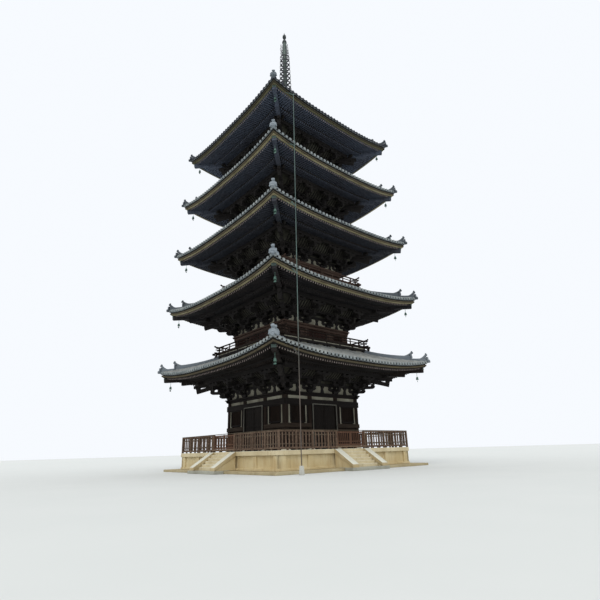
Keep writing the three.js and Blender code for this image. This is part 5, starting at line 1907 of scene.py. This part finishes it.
# Foot, head, radius of the foot, radius of the head
MAST = (25.6, 34.95, 0.185, 0.172)
BASIN_STEPS = [
    (0.62, 25.9), (0.7, 25.94), (0.7, 26.1), (0.64, 26.14), (0.64, 26.3), (0.67, 26.33), (0.67, 26.42),
    (0.64, 26.45), (0.64, 26.7), (0.7, 26.74), (0.7, 26.9), (0.6, 26.9), (0.2, 26.9), (0.2, 25.9),
]
BOWL = [
    (0, 26.88), (0.58, 26.88), (0.6, 27.0), (0.56, 27.2), (0.45, 27.38), (0.28, 27.46), (0.2, 27.5),
    (0.18, 27.62), (0.3, 27.66), (0.3, 27.72), (0.2, 27.76), (0.2, 27.84), (0, 27.84),
]
PETALS = 8
PETAL_Z = (27.78, 28.05)
PETAL_OUT = 0.18
PETAL_THICKNESS = 0.035
PETAL_TILT = math.radians(62)
PETAL = [(-0.09, 0), (-0.17, 0.25), (-0.15, 0.42), (0, 0.55), (0.15, 0.42), (0.17, 0.25), (0.09, 0)]
RING_COUNT = 9
RING_FROM = 29.05
RING_STEP = 0.5
# Lowest ring, highest ring
RING_RADII = (0.54, 0.42)
# Distances in from the ring's radius, heights over its place
HOOP = [
    (0.0, 0.02), (0.0, 0.145), (0.01, 0.16), (0.03, 0.16), (0.035, 0.145), (0.02, 0.0), (0.005, 0.0),
    (0.0, 0.02),
]
HUB = [(0.12, -0.05), (0.18, -0.02), (0.185, 0.05), (0.17, 0.1), (0.12, 0.2)]
SPOKES = 8
SPOKE = (0.02, 0.05)
SPOKE_Z = 0.1
HUB_RADIUS = 0.12
# Foot, head, reach
FLAME = (33.24, 34.5, 0.5)
FLAME_CURLS = 6
# Height from one curl to the next, as a share of the flame's
CURL_STEP = 0.155
# Outer corners of a curl: share of the reach, height over its foot
CURL = ((0.6, 0.05), (0.93, 0.15), (0.9, 0.17), (0.56, 0.08))
# Share of the reach, thickness of each upright
FLAME_UPRIGHTS = ((1.0, 0.03), (0.66, 0.022))
CROWN = [
    (0.16, 34.86), (0.2, 34.9), (0.205, 35.01), (0.185, 35.12), (0.14, 35.21), (0.085, 35.26), (0.08, 35.4),
    (0.11, 35.44), (0.155, 35.54), (0.168, 35.64), (0.152, 35.76), (0.1, 35.86), (0.045, 35.93),
    (0.03, 36.05), (0.0, 36.19),
]


def wheel(bm, radius, z):
    """One ring of the finial: an upright hoop on thin spokes."""
    turned(bm, [(radius - inward, z + rise) for inward, rise in HOOP], 32)
    for spoke in range(SPOKES):
        angle = math.tau * (spoke + 0.5) / SPOKES
        way = Vector((math.cos(angle), math.sin(angle), 0))
        height = UP * (z + SPOKE_Z)
        timber(bm, way * HUB_RADIUS + height, way * (radius - 0.02) + height, *SPOKE)


def flame_blade(bm, low, high, reach, steps=16):
    """Two pierced blades of the flame, left and right of the mast: thin uprights tied by rising curls."""
    height = high - low
    shapes = []
    for out, thin in FLAME_UPRIGHTS:
        line = []
        for k in range(steps + 1):
            share = k / steps
            swell = 0.93 + 0.07 * math.cos(4 * math.pi * share) - 0.18 * max(0.0, share - 0.8) / 0.2
            line.append((reach * out * swell, low + height * (0.04 + 0.96 * share)))
        shapes.append(([*line, *[(x - thin, z) for x, z in reversed(line)]], 0.02))
    for curl in range(FLAME_CURLS):
        foot = low + height * (0.02 + curl * CURL_STEP)
        arm = [(reach * share, foot + rise) for share, rise in CURL]
        shapes.append(([(0.14, foot), *arm, (0.14, foot + 0.03)], 0.016))
    for shape, thickness in shapes:
        plate(bm, shape, thickness)
        plate(bm, [(-x, z) for x, z in reversed(shape)], thickness)


class PAGODA_OT_finial(PagodaStep, bpy.types.Operator):
    """Bronze finial: basin, bowl, lotus, nine rings, pierced flame and two jewels"""

    bl_idname = "pagoda.finial"
    bl_label = "Finial"

    def build(self, sizes, details):
        lift = Matrix.Translation((0, 0, sizes.platform_top))

        basin = bmesh.new()
        carried(basin, BASIN_STEPS)
        turned(basin, BOWL, 32)
        petal = bmesh.new()
        low, high = PETAL_Z
        tilt = Matrix.Rotation(PETAL_TILT, 4, "X")
        plate(petal, PETAL, PETAL_THICKNESS, Matrix.Translation((0, -PETAL_OUT, low)) @ tilt)
        turns = [Matrix.Rotation(math.pi / PETALS * half, 4, "Z") for half in range(2 * PETALS)]
        raised = Matrix.Translation((0, 0, high - low - 0.18))
        copies(basin, petal, [*turns[::2], *[raised @ turn for turn in turns[1::2]]])

        rings = bmesh.new()
        mast = bmesh.new()
        for ring in range(RING_COUNT):
            share = ring / (RING_COUNT - 1)
            z = RING_FROM + RING_STEP * ring
            wheel(rings, RING_RADII[0] + (RING_RADII[1] - RING_RADII[0]) * share, z)
            turned(mast, [(radius, z + rise) for radius, rise in HUB], 20)
        low, high, wide, thin = MAST
        rod(mast, (0, 0, low), (0, 0, high), wide, 24, thin)

        flame = bmesh.new()
        blade = bmesh.new()
        flame_blade(blade, *FLAME)
        copies(flame, blade, QUARTERS[:2])
        turned(flame, CROWN)
        pieces = (
            ("finial_bowl", basin, "bronze", ["finial_stem"]),
            ("finial_wheels", rings, "ring_metal", ()),
            ("finial_mast", mast, "mast_metal", ()),
            ("finial_flames", flame, "bronze", ["finial_flame"]),
        )
        for name, bm, look, nodes in pieces:
            bmesh.ops.transform(bm, verts=bm.verts, matrix=lift)
            add(name, bm, look, nodes)


# Radius, distances out from the eave and back from the corner, height from the corner's tile edge
CABLE = (0.024, 0.25, 1.45, -0.15)
# Half-width of the seat, its distance under the tiles, radius of the prongs
FORK_SEAT = (0.06, 0.035, 0.018)
# Half-width, height
CABLE_FOOT = (0.1, 0.41)
SEAT_BACK = 0.1


class PAGODA_OT_conductor(PagodaStep, bpy.types.Operator):
    """Lightning conductor held off each eave by a fork and sunk in a stone foot"""

    bl_idname = "pagoda.conductor"
    bl_label = "Lightning conductor"

    def build(self, sizes, details):
        radius, out, back, below = CABLE
        drop, seat_drop, prong = FORK_SEAT
        half, foot_top = CABLE_FOOT
        tiers = []
        for storey in storeys():
            point = Vector((back - storey.eave, -storey.eave - out, storey.corner_edge + below))
            tiers.append((storey, point))
        lowest = tiers[0][1]
        stops = [Vector((lowest.x, lowest.y, foot_top - 0.06)), *[point for _, point in tiers]]
        made = bmesh.new()
        for start, end in zip(stops, stops[1:]):
            rod(made, start, end, radius)
        for storey, point in tiers:
            seat = -storey.eave + SEAT_BACK
            top = storey.tile_edge - 0.045 + storey.raised(-seat, point.x) - seat_drop
            soft_box(made, about(point.x, drop), (seat - 0.02, seat), (top - 2 * drop, top), 0.004)
            for z in (top - prong, top - 2 * drop + prong):
                rod(made, point, (point.x, seat - 0.02, z), prong, 10)
            rod(made, point, (point.x - 0.42, seat - 0.02, top - 0.2), prong * 0.7, 8)
            rod(made, point - UP * 0.05, point + UP * 0.05, 0.042, 16)
        add("conductor_cable", made, "conductor", ["lightning_conductor"])

        foot = bmesh.new()
        bmesh.ops.create_cone(
            foot, cap_ends=True, segments=4, radius1=half * 1.4, radius2=half * 1.05, depth=foot_top,
            matrix=Matrix.Translation((lowest.x, lowest.y, foot_top / 2)) @ DIAGONAL,
        )
        wear(foot, foot.edges[:], 0.015, 2)
        add("conductor_foot", foot, "concrete")


# Stage, camera and light

CAMERA_PLACE = (-19.503, -23.632, 1.073)
CAMERA_YAW = math.radians(40.92)
CAMERA_PITCH = math.radians(18.737)
CAMERA_ROLL = math.radians(-1.643)
CAMERA_LENS = 26.66
SKY_COLOUR = (0.93, 0.96, 1.0, 1)
SUN_COLOUR = (1.0, 0.97, 0.92)
SUN_STRENGTH = 1.2
SUN_WIDTH = math.radians(40)
SUN_TURN = (math.radians(38), 0, math.radians(-48))
FLOOR_RADIUS = 420


class PAGODA_OT_stage(PagodaStep, bpy.types.Operator):
    """Pale floor, soft overcast light and the camera"""

    bl_idname = "pagoda.stage"
    bl_label = "Stage"

    def build(self, sizes, details):
        ground = bmesh.new()
        bmesh.ops.create_circle(ground, cap_ends=True, segments=96, radius=FLOOR_RADIUS)
        mesh = bpy.data.meshes.new("studio_floor")
        ground.to_mesh(mesh)
        ground.free()
        mesh.materials.append(finish("studio_floor"))
        placed("studio_floor", mesh)

        flat = math.cos(CAMERA_PITCH)
        ahead = (math.sin(CAMERA_YAW) * flat, math.cos(CAMERA_YAW) * flat, math.sin(CAMERA_PITCH))
        forward = Vector(ahead)
        level = Vector((math.cos(CAMERA_YAW), -math.sin(CAMERA_YAW), 0))
        upward = level.cross(forward)
        right = level * math.cos(CAMERA_ROLL) + upward * math.sin(CAMERA_ROLL)
        above = upward * math.cos(CAMERA_ROLL) - level * math.sin(CAMERA_ROLL)
        data = bpy.data.cameras.new("camera")
        data.lens = CAMERA_LENS
        data.clip_end = 2000
        camera = placed("camera", data)
        turn = Matrix((right, above, -forward)).transposed().to_4x4()
        camera.matrix_world = Matrix.Translation(CAMERA_PLACE) @ turn
        bpy.context.scene.camera = camera

        world = bpy.data.worlds.new("overcast")
        world.use_nodes = True
        sky = world.node_tree.nodes["Background"]
        sky.inputs["Color"].default_value = SKY_COLOUR
        sky.inputs["Strength"].default_value = 1.0
        bpy.context.scene.world = world
        lamp = bpy.data.lights.new("high_sun", "SUN")
        lamp.energy = SUN_STRENGTH
        lamp.angle = SUN_WIDTH
        lamp.color = SUN_COLOUR
        placed("high_sun", lamp).rotation_euler = SUN_TURN
        bpy.context.scene.view_settings.view_transform = "Standard"


OPERATORS = (
    PAGODA_OT_platform, PAGODA_OT_stairs, PAGODA_OT_fence, PAGODA_OT_gates, PAGODA_OT_ground_storey,
    PAGODA_OT_doors, PAGODA_OT_upper_walls, PAGODA_OT_verandas, PAGODA_OT_brackets, PAGODA_OT_eaves,
    PAGODA_OT_roofs, PAGODA_OT_finial, PAGODA_OT_conductor, PAGODA_OT_stage,
)


class PAGODA_PT_builder(bpy.types.Panel):
    """Sidebar list of the pagoda's settings and pieces"""

    bl_idname = "PAGODA_PT_builder"
    bl_label = "Pagoda"
    bl_space_type = "VIEW_3D"
    bl_region_type = "UI"
    bl_category = "Pagoda"

    def draw(self, context):
        for group in (context.scene.pagoda_sizes, context.scene.pagoda_details):
            settings = self.layout.box()
            for name in group.bl_rna.properties.keys():
                if name not in ("rna_type", "name"):
                    settings.prop(group, name)
        pieces = self.layout.column(align=True)
        for operator in OPERATORS:
            pieces.operator(operator.bl_idname)


CLASSES = (PagodaSizes, PagodaDetails, *OPERATORS, PAGODA_PT_builder)


def register():
    for cls in CLASSES:
        bpy.utils.register_class(cls)
    bpy.types.Scene.pagoda_sizes = PointerProperty(type=PagodaSizes)
    bpy.types.Scene.pagoda_details = PointerProperty(type=PagodaDetails)


def unregister():
    del bpy.types.Scene.pagoda_details
    del bpy.types.Scene.pagoda_sizes
    for cls in reversed(CLASSES):
        bpy.utils.unregister_class(cls)


def main():
    register()
    for operator in OPERATORS:
        group, name = operator.bl_idname.split(".")
        getattr(getattr(bpy.ops, group), name)()


if __name__ == "__main__":
    main()
